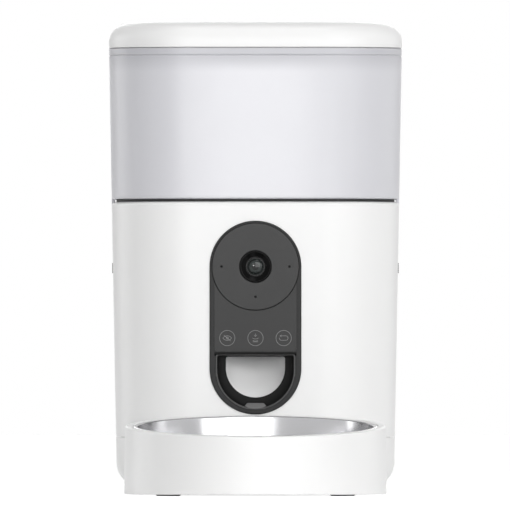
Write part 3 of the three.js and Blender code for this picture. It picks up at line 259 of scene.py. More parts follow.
steelLook = {
    "colour": (0.45, 0.45, 0.46, 1), "bright": (0.53, 0.53, 0.54, 1), "rough": 0.18, "stroke": 0.08,
    "depth": 0.0001,
    # strokes per metre: round the bowl they change with height only, on a shaft they run along it
    "round": (6, 6, 4200), "along": (900, 900, 30),
}


def brushedSteel(name, look, direction):
    finish = Finish(bpy.data.materials.new(name))
    stretch = finish.node("Mapping", None, {"Vector": finish.place(), "Scale": look[direction]})
    stroke = finish.node("TexNoise", None, {"Vector": stretch, "Scale": 1.0, "Detail": 3.0}, "Fac")
    smear = finish.noise(scale=30, detail=3)
    return finish.set({
        "Base Color": finish.mix(stroke, look["colour"], look["bright"]),
        "Metallic": 1.0,
        "Roughness": look["rough"] + (stroke - 0.5) * look["stroke"] + (smear - 0.5) * roughSpread["smear"],
        "Normal": finish.bump(stroke, strength=0.05, distance=look["depth"]),
    })


metalLooks = {
    "screwSteel": dict(colour=(0.52, 0.52, 0.53, 1), rough=0.3),
    "motorSteel": dict(colour=(0.5, 0.5, 0.5, 1), rough=0.36),
    "brass": dict(colour=(0.72, 0.53, 0.24, 1), rough=0.28),
}


def machinedMetal(name, look):
    finish = Finish(bpy.data.materials.new(name))
    grain = finish.noise(scale=900, detail=3)
    smear = finish.noise(scale=50, detail=3)
    return finish.set({
        "Base Color": finish.mix(smear, scaled(look["colour"], 0.9), look["colour"]),
        "Metallic": 1.0,
        "Roughness": look["rough"] + (grain - 0.5) * roughSpread["metal"],
        "Normal": finish.bump(grain, strength=0.06, distance=0.0001),
    })


# what is seen through the front element, painted in its colour: a pupil of painted shade inside a dim ring of
# painted reflection from the coating
def lensElement(name, look):
    finish = Finish(bpy.data.materials.new(name))
    share = finish.distance(finish.place(), look["centre"]) * (1 / look["reach"])
    return finish.set({
        "Base Color": finish.ramp(share, look["rings"]),
        "Roughness": look["rough"] + finish.noise(scale=160) * roughSpread["glass"],
        "IOR": look["index"],
    })


boardLook = {
    "mask": (0.012, 0.085, 0.038, 1), "track": (0.03, 0.17, 0.08, 1), "trackShare": 0.06, "cells": 320.0,
    "rough": 0.38,
}


def circuitBoard(name, look):
    finish = Finish(bpy.data.materials.new(name))
    cells = finish.node(
        "TexVoronoi", {"feature": "DISTANCE_TO_EDGE"}, {"Vector": finish.place(), "Scale": look["cells"]},
        "Distance",
    )
    away = finish.ramp(cells, [(0.0, grey(0)), (look["trackShare"], grey(1))])
    mottle = finish.noise(scale=500)
    return finish.set({
        "Base Color": finish.mix(away, look["track"], look["mask"]),
        "Roughness": look["rough"] + mottle * roughSpread["board"],
        "Normal": finish.bump(mottle, strength=0.08),
    })


finishes = {name: plastic(name, look) for name, look in plasticLooks.items()}
finishes.update({name: rubber(name, look) for name, look in rubberLooks.items()})
finishes.update({name: machinedMetal(name, look) for name, look in metalLooks.items()})
finishes["tankMilk"] = milkyPlastic("tankMilk", tankLook)
finishes["bowlSteel"] = brushedSteel("bowlSteel", steelLook, "round")
finishes["shaftSteel"] = brushedSteel("shaftSteel", steelLook, "along")
finishes["board"] = circuitBoard("board", boardLook)
print("finishes made:", len(finishes))


# meshes
def halfWidth(z):
    return feeder["footWidth"] / 2 + draft * min(z, lidSeam)


def halfDepth(z):
    return feeder["topDepth"] / 2 - draft * max(lidSeam - z, 0)


def arc(x, y, radius, start, end, steps):
    angles = [math.radians(start + (end - start) * step / steps) for step in range(steps + 1)]
    return [(x + radius * math.cos(angle), y + radius * math.sin(angle)) for angle in angles]


def circle(radius, x=0.0, y=0.0, sides=96):
    return arc(x, y, radius, 0, 360, sides)[:-1]


# angles of a quarter turn, for rounded edges
def quarterTurn(steps):
    return [step / steps * math.pi / 2 for step in range(steps + 1)]


def roundedBox(width, height, corner, x=0.0, y=0.0, steps=6):
    points = []
    for quarter in range(4):
        cornerX = (1 if quarter in (0, 3) else -1) * (width / 2 - corner)
        cornerY = (1 if quarter < 2 else -1) * (height / 2 - corner)
        points += arc(x + cornerX, y + cornerY, corner, quarter * 90, quarter * 90 + 90, steps)
    return points


# the feeder's plan at a height, in from the drafted walls
def planRing(z, inset=0.0):
    corner = feeder["corner"] - inset
    width = 2 * (halfWidth(z) - inset)
    depth = 2 * (halfDepth(z) - inset)
    return [(x, y, z) for x, y in roundedBox(width, depth, corner, 0, bodyY, feeder["cornerSteps"])]


# a circle whose points face those of the plan
def roundRing(z, radius, back=0.0):
    points = []
    for x, y, _ in planRing(z):
        angle = math.atan2(y - bodyY, x)
        points.append((radius * math.cos(angle), bodyY + back + radius * math.sin(angle), z))
    return points


# a quarter bend: the way into it and out of it, step by step
def bend(radius, steps):
    return [(radius * (1 - math.sin(angle)), radius * (1 - math.cos(angle))) for angle in quarterTurn(steps)]


def ringsOf(profile):
    return [planRing(z, inset) for z, inset in profile]


unmoved = Matrix()


# a skin over rows of points, capped at both ends unless it closes on itself
def skin(rows, matrix=unmoved, closed=False):
    vertices = []
    faces = []
    numbers = []
    for row in rows:
        numbers.append(list(range(len(vertices), len(vertices) + len(row))))
        vertices.extend(row)
    pairs = list(zip(numbers, numbers[1:]))
    if closed:
        pairs.append((numbers[-1], numbers[0]))
    for low, high in pairs:
        count = max(len(low), len(high))
        for i in range(count):
            j = (i + 1) % count
            quad = [low[i % len(low)], low[j % len(low)], high[j % len(high)], high[i % len(high)]]
            face = list(dict.fromkeys(quad))
            if len(face) > 2:
                faces.append(face)
    if not closed:
        if len(numbers[0]) > 2:
            faces.append(numbers[0][::-1])
        if len(numbers[-1]) > 2:
            faces.append(numbers[-1])
    return meshOf(vertices, faces, matrix)


# a profile of radius and height, turned about z
def turned(profile, matrix, sides=96, closed=False):
    rows = []
    for radius, height in profile:
        ring = circle(radius, sides=sides) if radius > 1e-6 else [(0, 0)]
        rows.append([(x, y, height) for x, y in ring])
    return skin(rows, matrix, closed)


def settled(mesh, apart, *moves):
    work = bmesh.new()
    work.from_mesh(mesh)
    bmesh.ops.remove_doubles(work, verts=work.verts, dist=apart)
    bmesh.ops.recalc_face_normals(work, faces=work.faces)
    for move in moves:
        work.transform(move)
    work.to_mesh(mesh)
    work.free()
    return mesh


def meshOf(vertices, faces, matrix=unmoved):
    mesh = bpy.data.meshes.new("work")
    mesh.from_pydata([tuple(c * millimetre for c in v) for v in vertices], [], faces)
    placed = matrix.copy()
    placed.translation = matrix.translation * millimetre
    return settled(mesh, 2e-6, placed)


def at(x=0.0, y=0.0, z=0.0):
    return Matrix.Translation((x, y, z))


# outlines filled between two levels, with a rounded edge on both faces and in every hole
def plateMesh(outlines, back, front, edge=0.0, matrix=unmoved, edgeSteps=2):
    curve = bpy.data.curves.new("outline", "CURVE")
    curve.dimensions = "2D"
    curve.fill_mode = "BOTH"
    for outline in outlines:
        spline = curve.splines.new("POLY")
        spline.points.add(len(outline) - 1)
        for point, (x, y) in zip(spline.points, outline):
            point.co = (x, y, 0, 1)
        spline.use_cyclic_u = True
    curve.extrude = (front - back) / 2 - edge
    curve.bevel_depth = edge
    curve.bevel_resolution = edgeSteps
    curve.offset = -edge
    holder = bpy.data.objects.new("outline", curve)
    mesh = bpy.data.meshes.new_from_object(holder)
    bpy.data.objects.remove(holder)
    bpy.data.curves.remove(curve)
    mesh.materials.clear()
    return settled(mesh, 0.002, at(0, 0, (front + back) / 2), matrix, Matrix.Scale(millimetre, 4))


def blockMesh(low, high, matrix=unmoved):
    corners = ((low[0], low[1]), (high[0], low[1]), (high[0], high[1]), (low[0], high[1]))
    return skin([[(x, y, z) for x, y in corners] for z in (low[2], high[2])], matrix)


def drumMesh(radius, low, high, sides, matrix):
    return turned([(0, low), (radius, low), (radius, high), (0, high)], matrix, sides)


def merged(meshes):
    work = bmesh.new()
    for mesh in meshes:
        work.from_mesh(mesh)
        bpy.data.meshes.remove(mesh)
    whole = bpy.data.meshes.new("work")
    work.to_mesh(whole)
    work.free()
    return whole


def carved(mesh, tools, operation="DIFFERENCE"):
    for toolMesh in tools:
        target = bpy.data.objects.new("target", mesh)
        tool = bpy.data.objects.new("tool", toolMesh)
        scene.collection.objects.link(target)
        scene.collection.objects.link(tool)
        cutter = target.modifiers.new("cut", "BOOLEAN")
        cutter.operation = operation
        cutter.solver = "EXACT"
        cutter.object = tool
        graph = bpy.context.evaluated_depsgraph_get()
        result = bpy.data.meshes.new_from_object(target.evaluated_get(graph))
        bpy.data.objects.remove(target)
        bpy.data.objects.remove(tool)
        bpy.data.meshes.remove(toolMesh)
        bpy.data.meshes.remove(mesh)
        mesh = result
    return mesh


def shade(mesh, angle):
    work = bmesh.new()
    work.from_mesh(mesh)
    limit = math.radians(angle)
    for face in work.faces:
        face.smooth = True
    for edge in work.edges:
        edge.smooth = len(edge.link_faces) == 2 and edge.calc_face_angle(0) < limit
    work.to_mesh(mesh)
    work.free()


def soften(shown, edge, segments, angle):
    rounder = shown.modifiers.new("edge", "BEVEL")
    rounder.width = edge * millimetre
    rounder.segments = segments
    rounder.limit_method = "ANGLE"
    rounder.angle_limit = math.radians(angle)


def dress(mesh, finish):
    mesh.materials.clear()
    mesh.materials.append(finishes[finish].material)


# angle: the bend in degrees from which an edge stays sharp or is softened
def piece(name, mesh, finish, body, replaces=(), edge=0.0, angle=32):
    mesh.name = name
    shade(mesh, angle)
    dress(mesh, finish)
    made = bpy.data.objects.new(name, mesh)
    scene.collection.objects.link(made)
    if edge:
        soften(made, edge, 3, angle)
    evener = made.modifiers.new("even", "WEIGHTED_NORMAL")
    evener.keep_sharp = True
    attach(made, body)
    if replaces:
        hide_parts(*replaces)
    return made


# a CAD node whose form is right: a finish and softened edges
def keep(node, finish, edge):
    dress(nodes[node].data, finish)
    soften(nodes[node], edge, 2, 40)


# the drafted front and back walls: x across, y up the wall, z out of it
def wallMatrix(facing, z):
    up = Vector((0, facing * math.sin(lean), math.cos(lean)))
    out = Vector((0, facing * math.cos(lean), -math.sin(lean)))
    across = up.cross(out)
    matrix = Matrix((across, up, out)).transposed().to_4x4()
    matrix.translation = Vector((0, bodyY + facing * halfDepth(z), z))
    return matrix


lensHeight = feeder["lensHeight"]
faceWall = wallMatrix(-1, lensHeight)
rearHeight = feeder["rearHeight"]
rearWall = wallMatrix(1, rearHeight)


def upFace(z):
    return (z - lensHeight) / math.cos(lean)


# a cutter with the outline given, from outside to a depth behind the wall's face
def wallCut(outline, depth, wallFrame=faceWall):
    return plateMesh([outline], -depth, overrun, 0, wallFrame)


# lid
lid = {
    "wall": 2.4, "rim": 3.3, "rimClear": 0.12, "rimBreak": 0.1, "edgeReach": 15, "edgeDrop": 12.5,
    "edgeSteps": 16, "lowerEdge": 0.45, "plugDepth": 9, "plugWall": 3, "plugInset": 4.2, "sealHeight": 3,
    "sealDrop": 4, "sealGroove": 1, "sealRoot": 0.7, "sealShy": 0.9, "sealWave": 0.5, "boxRadius": 30,
    "boxWall": 2, "boxDepth": 20, "boxFlange": 4, "boxRoof": 1.5, "boxBreak": 0.3, "boxFillet": 1,
}
rimTop = lidSeam + lid["rim"]
coverBottom = rimTop + gap


def coverRings(inset):
    rings = []
    for angle in quarterTurn(lid["edgeSteps"]):
        rings.append((
            feeder["height"] - lid["edgeDrop"] + (lid["edgeDrop"] - inset) * math.sin(angle),
            inset + (lid["edgeReach"] - inset) * (1 - math.cos(angle)),
        ))
    return rings


breakEdge = lid["lowerEdge"]
# the cover's skirt hides the frame's rim
outerRows = ringsOf([(lidSeam, breakEdge), (lidSeam + breakEdge, 0)] + coverRings(0))
innerRows = ringsOf(coverRings(lid["wall"])[::-1] + [(lidSeam, lid["wall"])])
topCentre = [(0, bodyY, feeder["height"])]
roofCentre = [(0, bodyY, feeder["height"] - lid["wall"])]
coverMesh = skin(outerRows + [topCentre, roofCentre] + innerRows, closed=True)
piece("lidCover", coverMesh, "shellWhite", "lid", ["lid_cover"], angle=50)

plug = lid["plugInset"]
plugInside = plug + lid["plugWall"]
plugBottom = lidSeam - lid["plugDepth"]
sealBed = plug + lid["sealGroove"]
sealTop = lidSeam - lid["sealDrop"]
sealLow = sealTop - lid["sealHeight"]
rimInset = lid["wall"] + lid["rimClear"]
rimBreak = lid["rimBreak"]
frameRows = ringsOf([
    (lidSeam + breakEdge, rimInset), (rimTop - rimBreak, rimInset),
    (rimTop, rimInset + rimBreak), (rimTop, plug),
])
frameRows += [roundRing(z, lid["boxRadius"] + gap) for z in (rimTop, lidSeam)]
frameRows += ringsOf([
    (lidSeam, plugInside), (plugBottom + breakEdge, plugInside), (plugBottom, plugInside - breakEdge),
    (plugBottom, plug + breakEdge), (plugBottom + breakEdge, plug), (sealLow - gap, plug),
    (sealLow - gap, sealBed), (sealTop + gap, sealBed), (sealTop + gap, plug), (lidSeam, plug),
])
frameMesh = skin(frameRows, closed=True)
piece("lidFrame", frameMesh, "insideWhite", "lid", ["lid_frame"], angle=40)

# soft seal: three ribs against the tank's wall
sealFace = feeder["tankWall"] + gap
wave = lid["sealWave"]
sealEdge = [(sealLow, plug + lid["sealRoot"]), (sealLow, sealFace + lid["sealShy"])]
sealEdge += [(sealLow + index * wave, sealFace + (index + 1) % 2 * wave) for index in range(1, 6)]
sealEdge += [(sealTop, sealFace + lid["sealShy"]), (sealTop, plug + lid["sealRoot"])]
sealMesh = skin(ringsOf(sealEdge), closed=True)
piece("lidSeal", sealMesh, "sealSilicone", "lid", ["lid_seal"], angle=60)

# desiccant box and its slotted twist cover
boxLow = lidSeam - lid["boxDepth"]
boxTop = coverBottom + lid["boxRoof"]
boxRadius = lid["boxRadius"]
boxBore = boxRadius - lid["boxWall"]
flange = boxRadius + lid["boxFlange"]
small = lid["boxBreak"]
fillet = lid["boxFillet"]
boxMesh = turned([
    (0, coverBottom), (boxBore - fillet, coverBottom), (boxBore, coverBottom - fillet),
    (boxBore, boxLow + small), (boxBore + small, boxLow), (boxRadius - small, boxLow),
    (boxRadius, boxLow + small), (boxRadius, coverBottom), (flange, coverBottom), (flange, boxTop),
    (0, boxTop),
], at(0, bodyY))
piece("desiccantBox", boxMesh, "insideWhite", "lid", ["desiccant_box"])

cap = {
    "plate": 2.2, "edge": 0.35, "collar": 3.5, "collarWall": 2, "bite": 1, "slots": 8, "slotWidth": 3,
    "slotIn": 9, "slotOut": 23, "gripLength": 30, "gripWidth": 5, "gripHeight": 3.5, "gripCorner": 2.2,
    "gripEdge": 0.8,
}
# a slot's ends stay just short of half circles
roundShort = 0.01
capTop = boxLow - gap
capLow = capTop - cap["plate"]
capOutlines = [circle(boxRadius)]
slotLine = roundedBox(
    cap["slotOut"] - cap["slotIn"], cap["slotWidth"], cap["slotWidth"] / 2 - roundShort,
    (cap["slotIn"] + cap["slotOut"]) / 2,
)
for index in range(cap["slots"]):
    turn = Matrix.Rotation((index + 0.5) / cap["slots"] * 2 * math.pi, 2)
    capOutlines.append([tuple(turn @ Vector(point)) for point in slotLine])
collarOut = boxBore - gap
collarIn = collarOut - cap["collarWall"]
collarTop = capTop + cap["collar"]
collarFoot = capTop - cap["bite"]
gripLine = roundedBox(cap["gripLength"], cap["gripWidth"], cap["gripCorner"])
gripEdge = cap["gripEdge"]
capMesh = merged([
    plateMesh(capOutlines, capLow, capTop, cap["edge"], at(0, bodyY)),
    turned([
        (collarOut, collarFoot), (collarOut, collarTop), (collarIn, collarTop), (collarIn, collarFoot),
    ], at(0, bodyY), closed=True),
    plateMesh([gripLine], capLow - cap["gripHeight"], capLow + gripEdge, gripEdge, at(0, bodyY)),
])
piece("desiccantCap", capMesh, "insideWhite", "desiccant_cap", ["desiccant_cover"])
print("lid done")

# tank
tank = {
    "collar": 4.2, "groove": 0.5, "neckInset": 7, "funnelTop": 180, "footRound": 1.6, "floorRound": 6,
    "roundSteps": 6, "rimOuter": 0.5, "rimInner": 0.4, "throatRadius": 45, "throatBack": 8,
    "throatLow": 143.3, "tabWidth": 23.4, "tabThick": 2.2, "tabLow": 172.8, "tabOverlap": 1.2,
    "tabFlush": 0.02,
}
# the line under the collar: below the collar and inwards, both in shares of the groove
grooveShares = ((2, 0), (1.6, 0.75), (1, 1), (0.4, 0.75), (0, 0))
wall = feeder["tankWall"]
neck = tank["neckInset"]
collarLow = tankRim - tank["collar"]
groove = tank["groove"]
footRound = tank["footRound"]
floorRound = tank["floorRound"]
rimOuter = tank["rimOuter"]
rimInner = tank["rimInner"]
outerTank = [roundRing(tank["throatLow"], tank["throatRadius"] + wall, tank["throatBack"])]
outerTank += ringsOf([(tank["funnelTop"], neck), (tankShoulder, neck)])
outerTank += ringsOf([(tankShoulder + up, inward) for inward, up in bend(footRound, tank["roundSteps"])])
outerTank += ringsOf([(collarLow - below * groove, inward * groove) for below, inward in grooveShares])
outerTank += ringsOf([(tankRim - rimOuter, 0), (tankRim, rimOuter)])
innerTank = ringsOf([(tankRim, wall - rimInner), (tankRim - rimInner, wall)])
innerTank += ringsOf([
    (tankShoulder + wall + up, wall + inward) for up, inward in bend(floorRound, tank["roundSteps"])
])
innerTank += ringsOf([(tankShoulder + wall, neck + wall), (tank["funnelTop"], neck + wall)])
innerTank.append(roundRing(tank["throatLow"], tank["throatRadius"], tank["throatBack"]))
tankMesh = skin(outerTank + innerTank, closed=True)


def sideTab(side):
    half = tank["tabWidth"] / 2
    rows = []
    for z in (tank["tabLow"], tankShoulder + tank["tabOverlap"]):
        outer = side * (halfWidth(z) - tank["tabFlush"])
        inner = side * (halfWidth(z) - tank["tabThick"])
        corners = ((inner, -half), (outer, -half), (outer, half), (inner, half))
        rows.append([(x, bodyY + y, z) for x, y in corners])
    return skin(rows)


tankMesh = carved(tankMesh, [sideTab(-1), sideTab(1)], "UNION")
piece("tankShell", tankMesh, "tankMilk", "tank_unit", ["tank"], angle=40)
print("tank done")

# body
body = {
    "edge": 2.6, "edgeSteps": 6, "ledgeTop": 186, "ledge": 3, "neckClear": 6.7, "pillRadius": 29.9,
    "pillSpacing": 66.7, "pillGap": 0.12, "cutDepth": 6, "seamGap": 0.2, "seamBreak": 0.15, "softEdge": 0.25,
    "pocketDepth": 9.5, "pocketWall": 1.6, "buttonTop": 172.5, "buttonSeam": 152.6, "buttonLow": 146,
}
inside = feeder["wall"]
seam = feeder["seam"]
seamBreak = body["seamBreak"]
shellLow = seam + body["seamGap"]
ledgeLow = body["ledgeTop"] - body["ledge"]
shellRows = [(shellLow, seamBreak), (shellLow + seamBreak, 0)]
shellRows += [(bodyTop - down, inward) for down, inward in bend(body["edge"], body["edgeSteps"])]
shellRows += [
    (bodyTop, inside), (body["ledgeTop"], inside), (body["ledgeTop"], body["neckClear"]),
    (ledgeLow, body["neckClear"]), (ledgeLow, inside), (shellLow, inside),
]
shellMesh = skin(ringsOf(shellRows), closed=True)
sideX = halfWidth((body["buttonTop"] + body["buttonLow"]) / 2)
pocketBack = sideX - body["pocketDepth"]
pocketLow = body["buttonLow"] - gap
tabTop = body["buttonTop"] + gap
pocketHalf = tank["tabWidth"] / 2 + gap


def sideBlock(side, inner, outer, half, low, high):
    first, second = sorted((side * inner, side * outer))
    return blockMesh((first, bodyY - half, low), (second, bodyY + half, high))


sides = (-1, 1)
pocketWall = body["pocketWall"]
pocketBox = (
    pocketBack - pocketWall, sideX - inside / 2, pocketHalf + pocketWall, pocketLow - pocketWall,
    tabTop + pocketWall,
)
shellMesh = carved(shellMesh, [sideBlock(side, *pocketBox) for side in sides], "UNION")


def pillOutline(radius):
    return arc(0, 0, radius, 0, 180, 48) + arc(0, -body["pillSpacing"], radius, 180, 360, 48)


back = {
    "socketX": 26, "socketWidth": 13, "socketHigh": 9, "socketCorner": 1, "resetUp": 16, "resetRadius": 3.4,
    "grilleX": -24, "grilleZ": 64, "grilleSize": 30, "grilleCorner": 5, "grilleLap": 4, "slots": 6,
    "slotWidth": 2, "slotLength": 20,
}
grilleUp = (back["grilleZ"] - rearHeight) / math.cos(lean)


def socketOutline(grow=0.0):
    return roundedBox(
        back["socketWidth"] + grow, back["socketHigh"] + grow, back["socketCorner"], back["socketX"],
    )


def grilleOutline(grow=0.0):
    size = back["grilleSize"] + grow
    return roundedBox(size, size, back["grilleCorner"], back["grilleX"], grilleUp)


shellTools = []
for side in sides:
    shellTools += [
        sideBlock(side, pocketBack, sideX + overrun, pocketHalf, pocketLow, tabTop),
        sideBlock(side, sideX - inside, sideX + overrun, pocketHalf, body["buttonTop"], bodyTop + overrun),
    ]
cutDepth = body["cutDepth"]
shellTools += [
    wallCut(pillOutline(body["pillRadius"] + body["pillGap"]), cutDepth),
    wallCut(socketOutline(2 * gap), cutDepth, rearWall),
    wallCut(circle(back["resetRadius"] + gap, back["socketX"], back["resetUp"], 40), cutDepth, rearWall),
    wallCut(grilleOutline(2 * gap), cutDepth, rearWall),
]
shellMesh = carved(shellMesh, shellTools)
softEdge = body["softEdge"]
piece(
    "bodyShell", shellMesh, "shellWhite", "feeder_body", ["body_shell"], edge=softEdge,
    angle=42,
)
gasketLow = body["ledgeTop"] + gap
gasketTop = tankShoulder - gap
gasketRows = ringsOf([
    (gasketLow, inside + gap), (gasketTop, inside + gap), (gasketTop, body["neckClear"]),
    (gasketLow, body["neckClear"]),
])
gasketMesh = skin(gasketRows, closed=True)
piece("tankGasket", gasketMesh, "gasketBlack", "feeder_body", ["tank_gasket"])

# base tray with its lip, the holder's groove, seats for feet and screws, standoffs for the board
tray = {
    "round": 15, "roundSteps": 10, "floor": 4, "lip": 4, "lipWall": 2, "screwX": 42, "screwFront": -16,
    "screwBack": 42, "footX": 58, "footY": 30, "postX": 32, "postY": 17, "postMiddle": 12, "postRadius": 3,
    "postBite": 1, "postHigh": 3.7, "cutUnder": 2,
}
rib = {"width": 39.4, "height": 1.8, "reach": 40}
foot = {"sole": [(6.4, 0), (7.4, 0.3), (8, 1.1)], "seat": 1.2, "cutRadius": 8.3, "cutHigh": 1.5}
screw = {
    "head": [(2.6, 0), (3.2, 0.25), (3.4, 0.8), (3.4, 1.8)], "shank": 1, "tip": 22, "slotHalf": 0.55,
    "slotReach": 2.1, "slotDepth": 1, "cutRadius": 3.8, "cutHigh": 2.1,
}
low = feeder["clearance"]
trayFloor = low + tray["floor"]
below = low - tray["cutUnder"]


def trayRings(inset, bottom):
    corner = bend(tray["round"] - inset, tray["roundSteps"])
    return [(bottom + up, inset + inward) for inward, up in corner]


lipInset = inside + gap
lipInside = lipInset + tray["lipWall"]
lip = tray["lip"]
trayProfile = trayRings(0, low) + [
    (seam - seamBreak, 0), (seam, seamBreak), (seam, lipInset), (seam + lip, lipInset),
    (seam + lip, lipInside), (seam - lip, lipInside), (seam - lip, inside),
] + trayRings(inside, trayFloor)[::-1]
trayMesh = skin(ringsOf(trayProfile))
trayFront = bodyY - halfDepth(low)
screwEnds = (tray["screwFront"], tray["screwBack"])
screwPlaces = [(side * tray["screwX"], bodyY + end) for side in sides for end in screwEnds]
footPlaces = [(side * tray["footX"], bodyY + end * tray["footY"]) for side in sides for end in sides]
postY = bodyY + tray["postMiddle"]
postPlaces = [(side * tray["postX"], postY + end * tray["postY"]) for side in sides for end in sides]
ribHalf = rib["width"] / 2 + gap
trayTools = [blockMesh(
    (-ribHalf, trayFront - tray["cutUnder"], below),
    (ribHalf, trayFront + rib["reach"] + gap, low + rib["height"]),
)]
for places, cutter, steps in ((screwPlaces, screw, 32), (footPlaces, foot, 48)):
    for x, y in places:
        trayTools.append(drumMesh(cutter["cutRadius"], below, low + cutter["cutHigh"], steps, at(x, y)))
postLow = trayFloor - tray["postBite"]
postTop = trayFloor + tray["postHigh"]
posts = [drumMesh(tray["postRadius"], postLow, postTop, 24, at(x, y)) for x, y in postPlaces]
trayMesh = merged([carved(trayMesh, trayTools)] + posts)
piece(
    "baseTray", trayMesh, "shellWhite", "feeder_body", ["base_tray"], edge=softEdge,
    angle=42,
)

radius = foot["sole"][-1][0]
footTop = low + foot["seat"]
for number, (x, y) in enumerate(footPlaces, 1):
    footMesh = turned([(0, 0)] + foot["sole"] + [(radius, footTop), (0, footTop)], at(x, y), sides=48)
    piece(f"bodyFoot{number}", footMesh, "footRubber", "feeder_body", [f"body_foot_{number}"])

slotHalf, slotReach = screw["slotHalf"], screw["slotReach"]
cross = []
for quarter in range(4):
    turn = Matrix.Rotation(quarter * math.pi / 2, 2)
    for point in ((-slotHalf, -slotReach), (slotHalf, -slotReach), (slotHalf, -slotHalf)):
        cross.append(tuple(turn @ Vector(point)))
headLine = [(0, low)] + [(radius, low + up) for radius, up in screw["head"]]
headLine += [(screw["shank"], headLine[-1][1]), (screw["shank"], screw["tip"]), (0, screw["tip"])]
for number, (x, y) in enumerate(screwPlaces, 1):
    slotMesh = plateMesh([cross], low - screw["slotDepth"], low + screw["slotDepth"], 0, at(x, y))
    screwMesh = carved(turned(headLine, at(x, y), sides=32), [slotMesh])
    piece(f"baseScrew{number}", screwMesh, "screwSteel", "feeder_body", [f"base_screw_{number}"])
print("body done")

# holder and bowl
bowlSet = {
    "topRadius": 84.7, "footRadius": 85.5, "lift": 1.0, "rimLevel": 45.6, "tilt": 4.66, "rimEdge": 1.3,
    "footEdge": 0.8, "edgeSteps": 4, "floor": 2.6, "wall": 2.8, "collar": 14, "collarIn": 0.6,
    "bowlRadius": 79.5, "seat": 1.6, "seatBreak": 0.5, "sides": 144,
    # the bowl's own sizes
    "bead": 2.6, "beadSide": 0.8, "beadRound": 0.9, "beadIn": 1.6, "beadSteps": 8, "steel": 1.2, "depth": 34,
    "draw": 1.6, "floorRound": 20, "floorSteps": 12,
    # holder feet and the tongue with its key under the body
    "footX": 56.5, "footY": 48, "footSole": [(7.0, 0), (7.6, 0.2), (7.9, 0.6)], "footTop": 1.8,
    "footCut": 8.2, "footCutHigh": 2.1, "tongueStart": 82, "tongueWidth": 70, "tongueThick": 3.6,
    "tongueCorner": 4, "tongueEdge": 0.6, "keyStart": 15, "keyCorner": 2, "keyEdge": 0.5, "keyBite": 1,
}
tilt = math.radians(bowlSet["tilt"])
holderY = feeder["holderY"]
rimLevel = bowlSet["rimLevel"]
lift = bowlSet["lift"]
rimFrame = at(0, holderY, rimLevel) @ Matrix.Rotation(tilt, 4, "X")
holderAngles = [index / bowlSet["sides"] * 2 * math.pi for index in range(bowlSet["sides"])]


def holderRadius(z):
    taper = (bowlSet["footRadius"] - bowlSet["topRadius"]) / (rimLevel - lift)
    return bowlSet["footRadius"] - taper * (z - lift)


def levelRow(radius, z):
    return [(radius * math.cos(angle), holderY + radius * math.sin(angle), z) for angle in holderAngles]


# a row that follows the tilted rim, a distance below its plane and in from the drafted wall
def rimRow(below, inset):
    row = []
    for angle in holderAngles:
        z = rimLevel
        for _ in range(4):
            radius = holderRadius(z) - inset
            z = rimLevel - below + radius * math.sin(angle) * math.tan(tilt)
        row.append((radius * math.cos(angle), holderY + radius * math.sin(angle), z))
    return row


def tiltedRow(radius, height):
    return [
        tuple(rimFrame @ Vector((radius * math.cos(angle), radius * math.sin(angle), height)))
        for angle in holderAngles
    ]


footEdge = bowlSet["footEdge"]
rimEdge = bowlSet["rimEdge"]
bead = bowlSet["bead"]
bowlRadius = bowlSet["bowlRadius"]
bowlBore = bowlRadius - bowlSet["seat"]
seatRadius = bowlRadius + gap
seatBreak = bowlSet["seatBreak"]
seatLow = -bead - gap
innerFoot = bowlSet["footRadius"] - bowlSet["wall"]
edgeSteps = bowlSet["edgeSteps"]
holderRows = [levelRow(holderRadius(lift) - inward, lift + up) for inward, up in bend(footEdge, edgeSteps)]
holderRows += [rimRow(down, inward) for down, inward in bend(rimEdge, edgeSteps)]
holderRows += [
    tiltedRow(seatRadius + seatBreak, 0), tiltedRow(seatRadius, -seatBreak), tiltedRow(seatRadius, seatLow),
    tiltedRow(bowlBore + gap, seatLow), tiltedRow(bowlBore + gap, -bowlSet["collar"]),
    tiltedRow(innerFoot - bowlSet["collarIn"], -bowlSet["collar"]),
    levelRow(innerFoot, lift + bowlSet["floor"]),
]
holderMesh = skin(holderRows)
footX, footY = bowlSet["footX"], bowlSet["footY"]
holderFeet = [at(side * footX, holderY + end * footY) for side in sides for end in sides]
footSeats = [
    drumMesh(bowlSet["footCut"], lift - overrun, bowlSet["footCutHigh"], 48, place) for place in holderFeet
]
tongueTop = low - gap
tongueEnd = trayFront + rib["reach"]
tongueStart = holderY + bowlSet["tongueStart"]
tongueLength = tongueEnd - tongueStart
keyLength = rib["reach"] - bowlSet["keyStart"]
tongueLine = roundedBox(
    bowlSet["tongueWidth"], tongueLength, bowlSet["tongueCorner"], 0, tongueStart + tongueLength / 2,
)
keyLine = roundedBox(rib["width"], keyLength, bowlSet["keyCorner"], 0, tongueEnd - keyLength / 2)
holderMesh = merged([
    carved(holderMesh, footSeats),
    plateMesh([tongueLine], tongueTop - bowlSet["tongueThick"], tongueTop, bowlSet["tongueEdge"]),
    plateMesh([keyLine], tongueTop - bowlSet["keyBite"], tongueTop + rib["height"], bowlSet["keyEdge"]),
])
piece("bowlHolder", holderMesh, "shellWhite", "holder", ["bowl_holder"], angle=40)
holderFootLine = [(0, 0)] + bowlSet["footSole"]
holderFootLine += [(bowlSet["footSole"][-1][0], bowlSet["footTop"]), (0, bowlSet["footTop"])]
for number, place in enumerate(holderFeet, 1):
    footMesh = turned(holderFootLine, place, sides=48)
    piece(f"holderFoot{number}", footMesh, "paleRubber", "holder", [f"holder_foot_{number}"])


def bowlCurve(inset):
    middle = bowlBore - bowlSet["draw"] - bowlSet["floorRound"]
    level = bowlSet["floorRound"] - bowlSet["depth"]
    radius = bowlSet["floorRound"] - inset
    angles = quarterTurn(bowlSet["floorSteps"])
    return [(middle + radius * math.sin(angle), level - radius * math.cos(angle)) for angle in angles]


